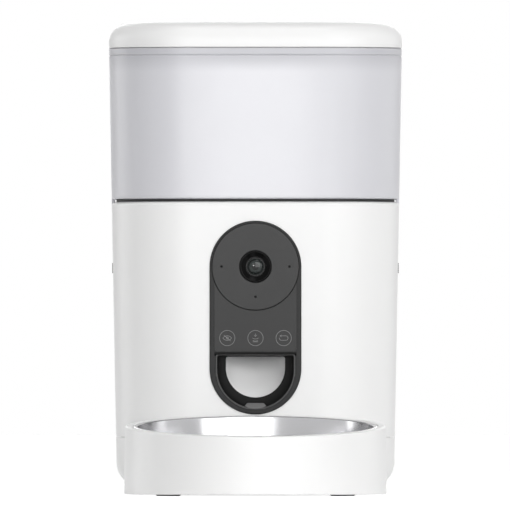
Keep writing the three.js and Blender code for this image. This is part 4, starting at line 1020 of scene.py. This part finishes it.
steel = bowlSet["steel"]
beadRound = bowlSet["beadRound"]
beadMiddle = (bowlRadius + bowlBore - steel) / 2
beadHalf = (bowlRadius - bowlBore + steel) / 2
bowlProfile = [(0, -bowlSet["depth"])] + bowlCurve(0)
bowlProfile += [(bowlBore, -bead), (bowlRadius, -bead), (bowlRadius, -bead + bowlSet["beadSide"])]
for step in range(bowlSet["beadSteps"] + 1):
    angle = math.pi * step / bowlSet["beadSteps"]
    bowlProfile.append((beadMiddle + beadHalf * math.cos(angle), beadRound * (math.sin(angle) - 1)))
bowlProfile += [(bowlBore - steel, -bowlSet["beadIn"])] + bowlCurve(steel)[::-1]
bowlProfile.append((0, steel - bowlSet["depth"]))
bowlMesh = turned(bowlProfile, rimFrame, bowlSet["sides"])
piece("steelBowl", bowlMesh, "bowlSteel", "bowl", ["steel_bowl"], angle=50)
print("bowl done")

# front panel, in the wall's own frame with the lens at its origin
panel = {
    "proud": 1.2, "back": 3.6, "edge": 0.55, "flange": 2.5, "flangeThick": 2, "cutDepth": 8, "lensHole": 6.5,
    "discRadius": 28.4, "discGap": 0.4, "discProud": 0.4, "discThick": 2.7, "discEdge": 0.4, "discBore": 10.5,
    "micX": 22.2, "micDrop": 19.7, "micRadius": 0.6, "touchWidth": 53.6, "touchLow": 94.2, "touchCorner": 3,
    "touchSink": 0.1, "touchLine": 0.1, "touchThick": 1.4, "touchEdge": 0.08,
    "stripOver": 0.35, "stripUnder": 0.6, "stripFront": 0.01, "stripFall": 1.5,
}
outlet = {
    "radius": 19.3, "top": 90.7, "centre": 83.4, "corner": 1.2, "surroundRadius": 25.1, "surroundSink": 5.2,
    "surroundCorner": 1.4, "surroundSteps": 8, "drop": 1.2, "band": 1.2, "plate": 2.4, "lipBack": 0.8,
    "lipWidth": 0.7, "lipRise": 0.35, "hole": 0.5, "fine": 0.1, "rimWidth": 0.85, "rimSink": 0.15,
    "rimCorner": 1.3, "rimRise": 0.2, "rimSlope": 0.4,
    # the rim's section: in from its outer edge, and behind its front
    "rimSection": [
        (0, 1.2), (0, 0.3), (0.08, 0.1), (0.25, 0), (0.6, 0), (0.77, 0.1), (0.84, 0.3), (0.84, 1.2),
    ],
}
proud = panel["proud"]
discTop = proud + panel["discProud"]
discLow = discTop - panel["discThick"]
discClear = panel["discRadius"] + panel["discGap"]
touchLow = upFace(panel["touchLow"])
touchTop = proud - panel["touchSink"]
outletUp = upFace(outlet["centre"])
outletRise = outlet["top"] - outlet["centre"]
surroundRise = outletRise + outlet["band"]
outerArch = outlet["surroundRadius"]
rimArch = outerArch + outlet["rimWidth"]
fine = outlet["fine"]


def archOutline(radius, rise, corner, drop=0):
    lowArc = arc(0, outletUp - drop, radius, 180, 360, 64)
    right = arc(radius - corner, outletUp + rise - corner, corner, 0, 90, 8)
    left = arc(corner - radius, outletUp + rise - corner, corner, 90, 180, 8)
    return lowArc + right + left


# the touch panel's lower half under a stretch of the disc's circle: the short one, or the long way round
def touchOutline(half, bottom, corner, longWay):
    meet = math.degrees(math.asin(half / discClear))
    if longWay:
        line = arc(0, 0, discClear, meet - 90, 270 - meet, 96)
    else:
        line = arc(0, 0, discClear, meet - 90, -90 - meet, 48)
    line += arc(corner - half, bottom + corner, corner, 180, 270, 8)
    line += arc(half - corner, bottom + corner, corner, 270, 360, 8)
    return line


touchHalf = panel["touchWidth"] / 2
archHole = archOutline(rimArch + fine, surroundRise + gap, outlet["corner"], outlet["drop"])
lensHole = circle(panel["lensHole"], sides=48)
dish = touchOutline(touchHalf + gap, touchLow - gap, panel["touchCorner"] + gap, True)
micPlaces = [(-panel["micX"], 0), (panel["micX"], 0), (0, -panel["micDrop"])]
cutDepth = panel["cutDepth"]
panelTools = [wallCut(dish, gap - discLow), wallCut(archHole, cutDepth), wallCut(lensHole, cutDepth)]
panelTools += [wallCut(circle(panel["micRadius"], x, y, 16), cutDepth) for x, y in micPlaces]
# the strip between touch panel and outlet falls away inwards
stripHigh = touchLow - panel["stripOver"]
stripLow = outletUp + surroundRise - panel["stripUnder"]
stripLine = [
    (stripHigh, proud + panel["stripFront"]), (stripHigh, overrun), (stripLow, overrun),
    (stripLow, proud - panel["stripFall"]),
]
stripRows = [[(x, y, z) for y, z in stripLine] for x in (-touchHalf, touchHalf)]
panelTools.append(skin(stripRows, faceWall))
pillLine = pillOutline(body["pillRadius"])
pillMesh = plateMesh([pillLine], -panel["back"], proud, panel["edge"], faceWall, edgeSteps=4)
flangeFront = -inside - gap
flangeMesh = plateMesh(
    [pillOutline(body["pillRadius"] + panel["flange"]), lensHole, archHole],
    flangeFront - panel["flangeThick"], flangeFront, 0, faceWall,
)
panelMesh = merged([carved(pillMesh, panelTools), flangeMesh])
piece("pillPanel", panelMesh, "pillGrey", "feeder_body", ["face_panel"], angle=30)

discHoles = [circle(panel["discBore"])] + [circle(panel["micRadius"], x, y, 20) for x, y in micPlaces]
discOutlines = [circle(panel["discRadius"], sides=128)] + discHoles
discMesh = plateMesh(discOutlines, discLow, discTop, panel["discEdge"], faceWall, edgeSteps=3)
piece("cameraDisc", discMesh, "discGrey", "feeder_body", ["camera_disc"], angle=30)

touchOut = gap - panel["touchLine"]
touchLine = touchOutline(touchHalf + touchOut, touchLow - touchOut, panel["touchCorner"], False)
touchMesh = plateMesh([touchLine], touchTop - panel["touchThick"], touchTop, panel["touchEdge"], faceWall)
piece("touchPanel", touchMesh, "touchGrey", "feeder_body", ["touch_panel"], angle=30)

# lens: dished ring, stepped barrel, coated dome
optics = {
    # radius, and height over the disc's face
    "ringFoot": [(6.7, -2.7), (10.2, -2.7)],
    "ringFace": [
        (10.2, 0.15), (10.05, 0.36), (9.8, 0.42), (9.4, 0.4), (9.0, 0.2), (7.9, -0.5), (6.85, -1.1),
        (6.7, -1.3),
    ],
    # radius, and depth behind the barrel's front
    "barrelBack": 1.2, "barrelOuter": [(5.3, 8), (6.2, 8), (6.2, 0.1), (6.1, 0)],
    "barrelSteps": [
        (5.95, 0), (5.86, 0.1), (5.86, 0.34), (5.78, 0.42), (5.6, 0.42), (5.52, 0.52), (5.52, 0.8),
        (5.44, 0.9), (5.36, 0.9), (5.3, 1.0),
    ],
    "glassBack": 0.2, "glassRadius": 5.2, "glassRise": 1.7, "glassDepth": 5, "domeSteps": 12,
}
glassLook = {
    "reach": optics["glassRadius"] * millimetre, "rough": 0.03, "index": 1.38,
    # painted in the glass's colour: a dark pupil of painted shade, a dim ring of painted coating reflection,
    # a dark gap and a painted highlight on the element's pale edge
    "rings": [
        (0.0, (0.001, 0.001, 0.001, 1)), (0.42, (0.001, 0.002, 0.002, 1)), (0.50, (0.022, 0.030, 0.028, 1)),
        (0.72, (0.018, 0.025, 0.023, 1)), (0.80, (0.002, 0.003, 0.003, 1)), (0.91, (0.002, 0.003, 0.003, 1)),
        (0.96, (0.055, 0.068, 0.064, 1)), (1.0, (0.055, 0.068, 0.064, 1)),
    ],
}
ringLine = [(radius, discTop + up) for radius, up in optics["ringFoot"] + optics["ringFace"]]
ringMesh = turned(ringLine, faceWall, closed=True)
piece("lensRing", ringMesh, "lensBlack", "feeder_body", ["lens_ring"], angle=35)
barrelFront = discTop - optics["barrelBack"]
barrelSection = optics["barrelOuter"] + optics["barrelSteps"]
barrelLine = [(radius, barrelFront - depth) for radius, depth in barrelSection]
barrelMesh = turned(barrelLine, faceWall, closed=True)
piece("lensBarrel", barrelMesh, "lensGrey", "feeder_body", ["lens_barrel"], angle=30)
glassTop = barrelFront - optics["glassBack"]
glassLook["centre"] = tuple((faceWall @ Vector((0, 0, glassTop))) * millimetre)
finishes["lensGlass"] = lensElement("lensGlass", glassLook)
glassRadius = optics["glassRadius"]
domeLine = [(0, glassTop - optics["glassDepth"]), (glassRadius, glassTop - optics["glassDepth"])]
domeLine += [
    (glassRadius * math.cos(angle), glassTop - optics["glassRise"] * (1 - math.sin(angle)))
    for angle in quarterTurn(optics["domeSteps"])
]
glassMesh = turned(domeLine, faceWall)
piece("lensGlass", glassMesh, "lensGlass", "feeder_body", ["lens_glass"], angle=50)

# touch places: rings and plain pictograms in thin ink
marks = {
    "ringRadius": 5.0, "line": 0.26, "rise": 0.06, "sink": 0.05, "level": 103, "spacing": 18.44, "pupil": 0.7,
}
keyUp = upFace(marks["level"])


def stroke(points, width, closed=False):
    count = len(points)
    left = []
    right = []
    for index, (x, y) in enumerate(points):
        before = points[index - 1] if index or closed else points[index]
        after = points[(index + 1) % count] if index < count - 1 or closed else points[index]
        dx, dy = after[0] - before[0], after[1] - before[1]
        size = math.hypot(dx, dy) or 1
        nx, ny = -dy / size * width / 2, dx / size * width / 2
        left.append((x + nx, y + ny))
        right.append((x - nx, y - ny))
    return [left, right] if closed else [left + right[::-1]]


def moved(outlines, x, y):
    return [[(px + x, py + y) for px, py in outline] for outline in outlines]


def inked(outlines, x):
    placed = moved(outlines, x, keyUp)
    return plateMesh(placed, touchTop - marks["sink"], touchTop + marks["rise"], 0, faceWall)


# an eye struck through, a falling scoop over its bowl, a loop with an arrow head
line = marks["line"]
ringOut = marks["ringRadius"] + line / 2
keyStrokes = {
    -1: [
        stroke(arc(0, -1.9, 3.4, 33, 147, 18), line), stroke(arc(0, 1.9, 3.4, 213, 327, 18), line),
        stroke(circle(marks["pupil"], sides=20), line, True), stroke([(-2.2, 1.9), (2.2, -1.9)], line),
    ],
    0: [
        stroke([(0, 2.9), (0, 1.2)], line), stroke([(-0.9, 1.9), (0, 1.05), (0.9, 1.9)], line),
        stroke(arc(0, 2.35, 2.95, 229, 311, 14), line), stroke(arc(0, 1.6, 3.6, 241, 299, 12), line),
        stroke([(-1.7, -2.45), (1.7, -2.45)], line),
    ],
    1: [
        stroke([(-2.2, 1.45)] + arc(1.4, 0, 1.45, 90, -90, 12) + arc(-1.4, 0, 1.45, 270, 175, 9), line),
        stroke([(-1.5, 2.15), (-2.3, 1.45), (-1.5, 0.75)], line),
    ],
}
inkMeshes = []
for key, strokes in keyStrokes.items():
    ring = [circle(ringOut, sides=72), circle(ringOut - line, sides=72)]
    inkMeshes += [inked(outline, key * marks["spacing"]) for outline in [ring] + strokes]
piece("touchMarks", merged(inkMeshes), "iconInk", "feeder_body", angle=30)
print("panel done")

# outlet: dished surround with its ramp, and the chute behind it
surroundFront = proud - outlet["surroundSink"]
surroundBack = surroundFront - outlet["plate"]
rimFront = proud - outlet["rimSink"]
lipTop = rimFront - outlet["lipBack"]
openRadius = outlet["radius"]
outletDrop = outlet["drop"]


def archRow(radius, rise, corner, z, drop=0):
    return [(x, y, z) for x, y in archOutline(radius, rise, corner, drop)]


surroundRows = [
    archRow(openRadius + 2 * fine, outletRise + 2 * fine, outlet["corner"], surroundBack),
    archRow(outerArch, surroundRise, outlet["surroundCorner"], surroundBack, outletDrop),
    archRow(outerArch, surroundRise, outlet["surroundCorner"], lipTop - fine, outletDrop),
    archRow(outerArch - fine, surroundRise - fine / 2, outlet["corner"], lipTop, outletDrop),
]
dishSteps = outlet["surroundSteps"]
dishWidth = outerArch - outlet["lipWidth"] - openRadius
dishRise = surroundRise - outlet["lipRise"] - outletRise
for step, angle in enumerate(quarterTurn(dishSteps)):
    if step:
        radius = outerArch - 2 * fine - dishWidth * (1 - math.cos(angle))
        rise = surroundRise - fine - dishRise * step / dishSteps
        height = lipTop - (lipTop - surroundFront) * math.sin(angle)
        surroundRows.append(archRow(radius, rise, outlet["corner"], height, outletDrop * math.cos(angle)))
surroundRows += [
    archRow(openRadius + fine, outletRise + fine / 2, outlet["corner"], surroundFront - fine),
    archRow(openRadius, outletRise, outlet["corner"], surroundFront - outlet["hole"]),
]
surroundMesh = skin(surroundRows, faceWall, closed=True)
piece(
    "outletSurround", surroundMesh, "outletBlack", "feeder_body", ["outlet_frame"], angle=35,
)

spout = {
    "topWidth": 10.9, "lowWidth": 16.8, "height": 3.7, "foot": 0.3, "lowFront": 5.15, "topFront": 1,
    "root": 1, "edge": 0.2,
}
spoutLow = outletUp - outletDrop - outerArch - spout["foot"]
spoutRoot = surroundFront - spout["root"]
spoutRows = []
for end, y in (("low", spoutLow), ("top", spoutLow + spout["height"])):
    half = spout[end + "Width"] / 2
    front = surroundFront + spout[end + "Front"]
    spoutRows.append([(-half, y, spoutRoot), (half, y, spoutRoot), (half, y, front), (-half, y, front)])
spoutMesh = skin(spoutRows, faceWall)
piece("outletRamp", spoutMesh, "spoutGrey", "feeder_body", edge=spout["edge"], angle=30)
rimRows = [
    archRow(
        rimArch - inward, surroundRise + outlet["rimRise"] - inward * outlet["rimSlope"], outlet["rimCorner"],
        rimFront - behind, outletDrop,
    )
    for inward, behind in outlet["rimSection"]
]
rimMesh = skin(rimRows, faceWall, closed=True)
# the rim's lighter grey paints the highlight along its rounded edge
piece("outletRim", rimMesh, "rimHighlightGrey", "feeder_body", angle=40)

chute = {"wall": 2, "clear": 0.7, "slope": 44, "steps": 24, "reach": 44, "least": 0.4}
chuteRun = math.tan(math.radians(chute["slope"]))
mouthY = bodyY - halfDepth(outlet["centre"]) - surroundBack
chuteTop = feeder["cupFloor"] - gap


# the arch, carried back and up the slope; its first row follows the back of the surround, which leans
def chuteRow(grow, along, ends=True):
    row = []
    clear = chute["clear"] + grow
    outline = archOutline(outlet["radius"] + clear, outletRise + clear, outlet["corner"] + grow)
    for x, y in outline:
        up = y - outletUp
        z = outlet["centre"] + up
        frontY = mouthY - math.tan(lean) * up + gap
        run = min(along, max((chuteTop - z) / chuteRun, chute["least"])) if ends else along
        row.append((x, frontY + run, z + run * chuteRun))
    return row


chuteReach = chute["reach"]
chuteSteps = [chuteReach * step / chute["steps"] for step in range(chute["steps"] + 1)]
innerChute = [chuteRow(0, along) for along in chuteSteps]
outerChute = [chuteRow(chute["wall"], along) for along in chuteSteps]
chuteMesh = skin(innerChute + outerChute[::-1], closed=True)
piece("foodChute", chuteMesh, "chuteGrey", "feeder_body", ["chute"], angle=45)
print("outlet done")

# side buttons, each with a dark ribbed finger pad under its white face
button = {
    "sink": 0.9, "thick": 4, "pad": 2.4, "proud": 0.3, "ribs": 4, "ribDepth": 0.45, "round": 0.35,
    "padRound": 0.12, "travel": 2.55,
    # one rib's pitch: where the groove starts and ends in it, and the groove's share of the depth
    "ribShares": ((0.62, 0), (0.70, 1), (0.92, 1), (1.0, 0)), "endShare": 0.6,
}
spring = {"wire": 0.8, "turns": 2.5, "turnSteps": 24, "sides": 10}
buttonFace = sideX - button["sink"]
buttonBack = buttonFace - button["thick"]
padBack = sideX - button["pad"]
padFace = sideX + button["proud"]
padLow = body["buttonLow"]
padTop = body["buttonSeam"] - gap
ribPitch = (padTop - padLow) / (button["ribs"] + button["endShare"])
tabHalf = tank["tabWidth"] / 2
faceLine = [
    (buttonBack, padLow), (padBack - gap, padLow), (padBack - gap, body["buttonSeam"]),
    (buttonFace, body["buttonSeam"]), (buttonFace, body["buttonTop"]), (buttonBack, body["buttonTop"]),
]
padLine = [(padBack, padLow), (padFace, padLow)]
for row in range(button["ribs"]):
    for share, depth in button["ribShares"]:
        padLine.append((padFace - depth * button["ribDepth"], padLow + ribPitch * (row + share)))
padLine += [(padFace, padTop), (padBack, padTop)]


# x out of the side, y up, z along the side
def sideFrame(side):
    matrix = Matrix(((side, 0, 0), (0, 0, -side), (0, 1, 0))).to_4x4()
    matrix.translation = Vector((0, bodyY, 0))
    return matrix


def coilMesh(low, high):
    middle = (low + high) / 2
    wire = spring["wire"] / 2
    radius = (high.z - low.z) / 2 - wire
    steps = round(spring["turns"] * spring["turnSteps"])
    rows = []
    for step in range(steps + 1):
        turn = step / spring["turnSteps"] * 2 * math.pi
        along = low.x + wire + (high.x - low.x - 2 * wire) * step / steps
        rows.append([
            (along + x, middle.y + (radius + y) * math.cos(turn), middle.z + (radius + y) * math.sin(turn))
            for x, y in circle(wire, sides=spring["sides"])
        ])
    return skin(rows)


for side, label in ((-1, "left"), (1, "right")):
    ending = label.title()
    moving = f"button_{label}"
    faceMesh = plateMesh([faceLine], -tabHalf, tabHalf, button["round"], sideFrame(side))
    faceNode = f"release_button_{label}"
    piece(f"releaseButton{ending}", faceMesh, "buttonWhite", moving, [faceNode], angle=30)
    padMesh = plateMesh([padLine], -tabHalf, tabHalf, button["padRound"], sideFrame(side))
    piece(f"fingerPad{ending}", padMesh, "padRubber", moving, [f"finger_pad_{label}"], angle=30)
    # the return spring shortens as its button goes in
    springNode = f"button_spring_{label}"
    near, far = (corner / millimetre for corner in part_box(springNode))
    coil = coilMesh(near, far)
    returnSpring = piece(
        f"returnSpring{ending}", coil, "shaftSteel", "feeder_body", [springNode], angle=60,
    )
    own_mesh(returnSpring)
print("side buttons done")

# back of the body: power socket, reset button, grille over the speaker
socket = {
    "front": 0.5, "back": 9, "edge": 0.3,
    # radius, and height over the wall's face
    "hole": [(0, -7.4), (3.2, -7.4), (3.2, -0.9), (3.8, -0.3), (3.8, 1), (0, 1)],
    "pin": [(0, -8), (0.9, -8), (0.9, -1.4), (0.6, -1), (0, -1)],
}
socketPlace = rearWall @ at(back["socketX"])
socketMesh = carved(
    plateMesh([socketOutline()], -socket["back"], -socket["front"], socket["edge"], rearWall),
    [turned(socket["hole"], socketPlace, sides=48)],
)
pinMesh = turned(socket["pin"], socketPlace, sides=24)
socketMesh = merged([socketMesh, pinMesh])
piece("powerSocket", socketMesh, "outletBlack", "feeder_body", ["power_socket"], angle=30)

# a collar behind the wall, a stem through it and a dished cap
resetLine = [
    (0, -3.7), (4.2, -3.7), (4.4, -3.5), (4.4, -3.1), (3.4, -3.1), (3.4, 0.2), (3.3, 0.42), (3.05, 0.5),
    (2.8, 0.5), (2.3, 0.34), (1.4, 0.22), (0, 0.18),
]
resetMesh = turned(resetLine, rearWall @ at(back["socketX"], back["resetUp"]), sides=64)
piece("resetButton", resetMesh, "pillGrey", "reset", ["reset_button"], angle=35)

grille = {"thick": 3.4, "edge": 0.4, "lapBack": 4.9, "lapFront": 3.1}
pitch = (back["grilleSize"] - back["grilleCorner"]) / back["slots"]
firstSlot = back["grilleX"] - pitch * (back["slots"] - 1) / 2
slotRound = back["slotWidth"] / 2 - roundShort
grilleSlots = [
    roundedBox(back["slotWidth"], back["slotLength"], slotRound, firstSlot + slot * pitch, grilleUp)
    for slot in range(back["slots"])
]
grilleFace = [grilleOutline()] + grilleSlots
grilleLap = [grilleOutline(back["grilleLap"])] + grilleSlots
grilleMesh = merged([
    plateMesh(grilleFace, -grille["thick"], 0, grille["edge"], rearWall),
    plateMesh(grilleLap, -grille["lapBack"], -grille["lapFront"], 0, rearWall),
])
piece("speakerGrille", grilleMesh, "shellWhite", "feeder_body", ["speaker_grille"], angle=30)

speaker = {
    "behind": 5.2,
    # magnet, basket, surround and cone: radius, and height from the front
    "section": [
        (0, -8), (7.6, -8), (8, -7.6), (8, -4), (13.8, -2.3), (14, -2), (14, -0.2), (13.8, 0), (12.4, 0),
        (12, -0.4), (11, -0.3), (10, -0.9), (4.2, -2), (3.9, -1.4), (2, -1.0), (0, -0.9),
    ],
}
speakerPlace = rearWall @ at(back["grilleX"], grilleUp, -speaker["behind"])
speakerMesh = turned(speaker["section"], speakerPlace, sides=72)
piece("speakerDriver", speakerMesh, "lensBlack", "feeder_body", ["speaker"], angle=30)
print("back done")

# feed drive
drive = {
    "back": 8, "cup": 45, "wall": 2.4, "floor": 104, "top": 143, "cupFoot": 0.4, "cupRim": 0.3,
    "cupFillet": 1.2, "cupEdge": 0.2, "shaftHole": 5,
    "tabAngles": (-118, -90, -62), "tabIn": 37, "tabHalf": 4, "tabOut": 46.2, "tabLow": 134.1,
    "tabTop": 136.4, "tabClear": 0.3, "slotLow": 133.7, "slotTop": 136.8, "slotOut": 50,
    "postX": 37.5, "postY": 14, "postLow": 93.3, "postRadius": 3.5, "sweepRadius": 43, "sweepClear": 1,
    "guardIn": 13, "guardLow": 134, "guardThick": 2.5, "guardAngle": 42, "guardEdge": 0.5,
}
rotor = {
    "blades": 6, "blade": 2.4, "bladeLow": 105.3, "bladeTop": 131.8, "bladeReach": 44.2, "bladeIn": 7,
    "bladeCorner": 1.6, "bladeEdge": 0.7, "bore": 3.3, "boreDepth": 24,
    # hub: radius, and height over the blades' foot or over their top
    "hubFoot": [(8.6, 0), (9, 0.4)],
    "hubCone": [(9, -0.4), (8.7, 0.3), (3.3, 13.5), (2.7, 15.2), (1.5, 16.6), (0, 17.1)],
}
drivePlace = at(0, bodyY + drive["back"])


def turnedBlock(angle, low, high):
    return blockMesh(low, high, drivePlace @ Matrix.Rotation(math.radians(angle), 4, "Z"))


cup, cupLow, cupTop, cupFloor = drive["cup"], feeder["cupFloor"], drive["top"], drive["floor"]
cupFoot, cupRim, cupFillet = drive["cupFoot"], drive["cupRim"], drive["cupFillet"]
cupOut = cup + drive["wall"]
cupMesh = turned([
    (0, cupLow), (cupOut - cupFoot, cupLow), (cupOut, cupLow + cupFoot), (cupOut, cupTop - cupRim),
    (cupOut - cupRim, cupTop), (cup + cupRim, cupTop), (cup, cupTop - cupRim), (cup, cupFloor + cupFillet),
    (cup - cupFoot, cupFloor + cupFoot), (cup - cupFillet, cupFloor), (0, cupFloor),
], drivePlace, sides=120)
sweepClear = drive["sweepClear"]
sweepLow, sweepTop = cupLow - sweepClear, cupFloor + sweepClear
sweepTool = carved(
    skin([chuteRow(0, 0, False), chuteRow(0, chuteReach, False)]),
    [drumMesh(drive["sweepRadius"], sweepLow, sweepTop, 72, drivePlace)], "INTERSECT",
)
cupTools = [sweepTool, drumMesh(drive["shaftHole"], sweepLow, sweepTop, 40, drivePlace)]
slotSide = drive["tabHalf"] + drive["tabClear"]
slotNear = (drive["tabIn"], -slotSide, drive["slotLow"])
slotFar = (drive["slotOut"], slotSide, drive["slotTop"])
cupTools += [turnedBlock(angle, slotNear, slotFar) for angle in drive["tabAngles"]]
cupPosts = [
    drumMesh(drive["postRadius"], drive["postLow"], cupLow + cupFoot, 24, drivePlace @ at(x, y))
    for x in (-drive["postX"], drive["postX"]) for y in (-drive["postY"], drive["postY"])
]
cupMesh = merged([carved(cupMesh, cupTools)] + cupPosts)
piece(
    "rotorCup", cupMesh, "insideWhite", "feeder_body", ["rotor_cup"], edge=drive["cupEdge"],
    angle=35,
)

guardSpan = drive["guardAngle"]
guardLine = arc(0, 0, cup - gap, -90 - guardSpan, -90 + guardSpan, 36)
guardLine += arc(0, 0, drive["guardIn"], -90 + guardSpan, -90 - guardSpan, 24)
guardPlate = plateMesh(
    [guardLine], drive["guardLow"], drive["guardLow"] + drive["guardThick"], drive["guardEdge"], drivePlace,
)
tabNear = (drive["tabIn"], -drive["tabHalf"], drive["tabLow"])
tabFar = (drive["tabOut"], drive["tabHalf"], drive["tabTop"])
guardTabs = [turnedBlock(angle, tabNear, tabFar) for angle in drive["tabAngles"]]
guardMesh = merged([guardPlate] + guardTabs)
piece("outletGuard", guardMesh, "insideWhite", "feeder_body", ["outlet_guard"], angle=35)

bladeLow, bladeTop, bladeIn = rotor["bladeLow"], rotor["bladeTop"], rotor["bladeIn"]
boreTop = bladeLow + rotor["boreDepth"]
hubLine = [(rotor["bore"], bladeLow)] + [(radius, bladeLow + up) for radius, up in rotor["hubFoot"]]
hubLine += [(radius, bladeTop + up) for radius, up in rotor["hubCone"]]
hubLine += [(0, boreTop), (rotor["bore"], boreTop)]
rotorMeshes = [turned(hubLine, drivePlace, sides=72, closed=True)]
bladeOut = rotor["bladeReach"]
bladeLine = roundedBox(
    bladeOut - bladeIn, bladeTop - bladeLow, rotor["bladeCorner"], (bladeOut + bladeIn) / 2,
    (bladeTop + bladeLow) / 2,
)
bladeHalf = rotor["blade"] / 2
for index in range(rotor["blades"]):
    turn = Matrix.Rotation((index + 0.5) / rotor["blades"] * 2 * math.pi, 4, "Z")
    stand = drivePlace @ turn @ Matrix.Rotation(math.pi / 2, 4, "X")
    rotorMeshes.append(plateMesh([bladeLine], -bladeHalf, bladeHalf, rotor["bladeEdge"], stand))
piece("feedRotor", merged(rotorMeshes), "nylonIvory", "rotor", ["feed_rotor"], angle=35)

# the solids whose form is right as it is, with their finish and the width of their softened edges
for node, finish, edge in (
    ("rotor_shaft", "shaftSteel", 0.3), ("rotor_bush", "brass", 0.15), ("rotor_gear", "nylonIvory", 0.15),
    ("drive_pinion", "brass", 0.15), ("drive_frame", "insideWhite", 0.4), ("drive_motor", "motorSteel", 0.6),
    ("motor_screw_1", "screwSteel", 0.2), ("motor_screw_2", "screwSteel", 0.2), ("main_board", "board", 0.2),
    ("camera_housing", "lensBlack", 0.4), ("camera_board", "board", 0.2), ("touch_board", "board", 0.2),
    ("rear_board", "board", 0.2),
):
    keep(node, finish, edge)
print("drive done")

# floor and surroundings, white to the eye and dimmer as light
studio = {
    # in metres
    "floorSide": 40, "floorBack": 60, "distance": 15, "frameWidth": 0.3335, "aimX": -0.0003, "aimZ": 0.1573,
    "eyeZ": 0.05, "lampDistance": 2.6,
    "floor": 0.86, "floorGlow": 0.72, "ambient": 0.19,
    # turn and rise in degrees, size in metres, power in watts
    "lamps": {
        "front": (13, 10, 1.3, 22), "frontLeft": (-12, 10, 0.7, 3), "low": (-9, 3, 0.2, 4),
        "right": (41, 10, 1.0, 8.5), "highRight": (20, 50, 1.0, 9), "overhead": (0, 85, 1.0, 13),
        "backLeft": (-116, 10, 1.4, 15), "backRight": (115, 10, 1.6, 7), "back": (180, 15, 1.2, 9),
    },
}


# one for rays that show the floor or the surroundings to the eye, nothing for those that light the part
def seenRays(finish):
    seen = finish.node("LightPath", None, None, "Is Camera Ray")
    for ray in ("Glossy", "Transmission"):
        seen = seen + finish.node("LightPath", None, None, f"Is {ray} Ray")
    return seen


wide, behind = studio["floorSide"] / millimetre, studio["floorBack"] / millimetre
floorCorners = [(-wide, -wide, 0), (wide, -wide, 0), (wide, behind, 0), (-wide, behind, 0)]
floorMesh = meshOf(floorCorners, [(0, 1, 2, 3)])
floorFinish = Finish(bpy.data.materials.new("paleFloor"))
floorFinish.set({
    "Base Color": grey(studio["floor"]), "Roughness": 0.7, "Emission Strength": 1.0,
    "Emission Color": floorFinish.mix(seenRays(floorFinish), grey(0), grey(studio["floorGlow"])),
})
floorMesh.materials.append(floorFinish.material)
floor = bpy.data.objects.new("floor", floorMesh)
scene.collection.objects.link(floor)

scene.world = bpy.data.worlds.new("surroundings")
world = Finish(scene.world, "Background")
world.set({"Color": world.mix(seenRays(world), grey(studio["ambient"]), grey(1))})
aim = Vector((studio["aimX"], bodyY * millimetre, studio["aimZ"]))
for name, (turnAngle, riseAngle, size, power) in studio["lamps"].items():
    turn, rise = math.radians(turnAngle), math.radians(riseAngle)
    light = bpy.data.lights.new(name, "AREA")
    light.size = size
    light.energy = power
    placed = bpy.data.objects.new(name, light)
    away = Vector((math.cos(rise) * math.sin(turn), -math.cos(rise) * math.cos(turn), math.sin(rise)))
    placed.location = aim + away * studio["lampDistance"]
    placed.rotation_euler = (-away).to_track_quat("-Z", "Y").to_euler()
    scene.collection.objects.link(placed)

# a long lens, square to the front and nearly level
lens = bpy.data.cameras.new("view")
lens.lens = lens.sensor_width * studio["distance"] / studio["frameWidth"]
camera = bpy.data.objects.new("view", lens)
frontY = faceWall.translation.y * millimetre
camera.location = (studio["aimX"], frontY - studio["distance"], studio["eyeZ"])
lookUp = math.atan((studio["aimZ"] - studio["eyeZ"]) / studio["distance"])
camera.rotation_euler = (math.pi / 2 + lookUp, 0, 0)
scene.collection.objects.link(camera)
scene.camera = camera
scene.view_settings.view_transform = "Standard"

print("all pieces made")
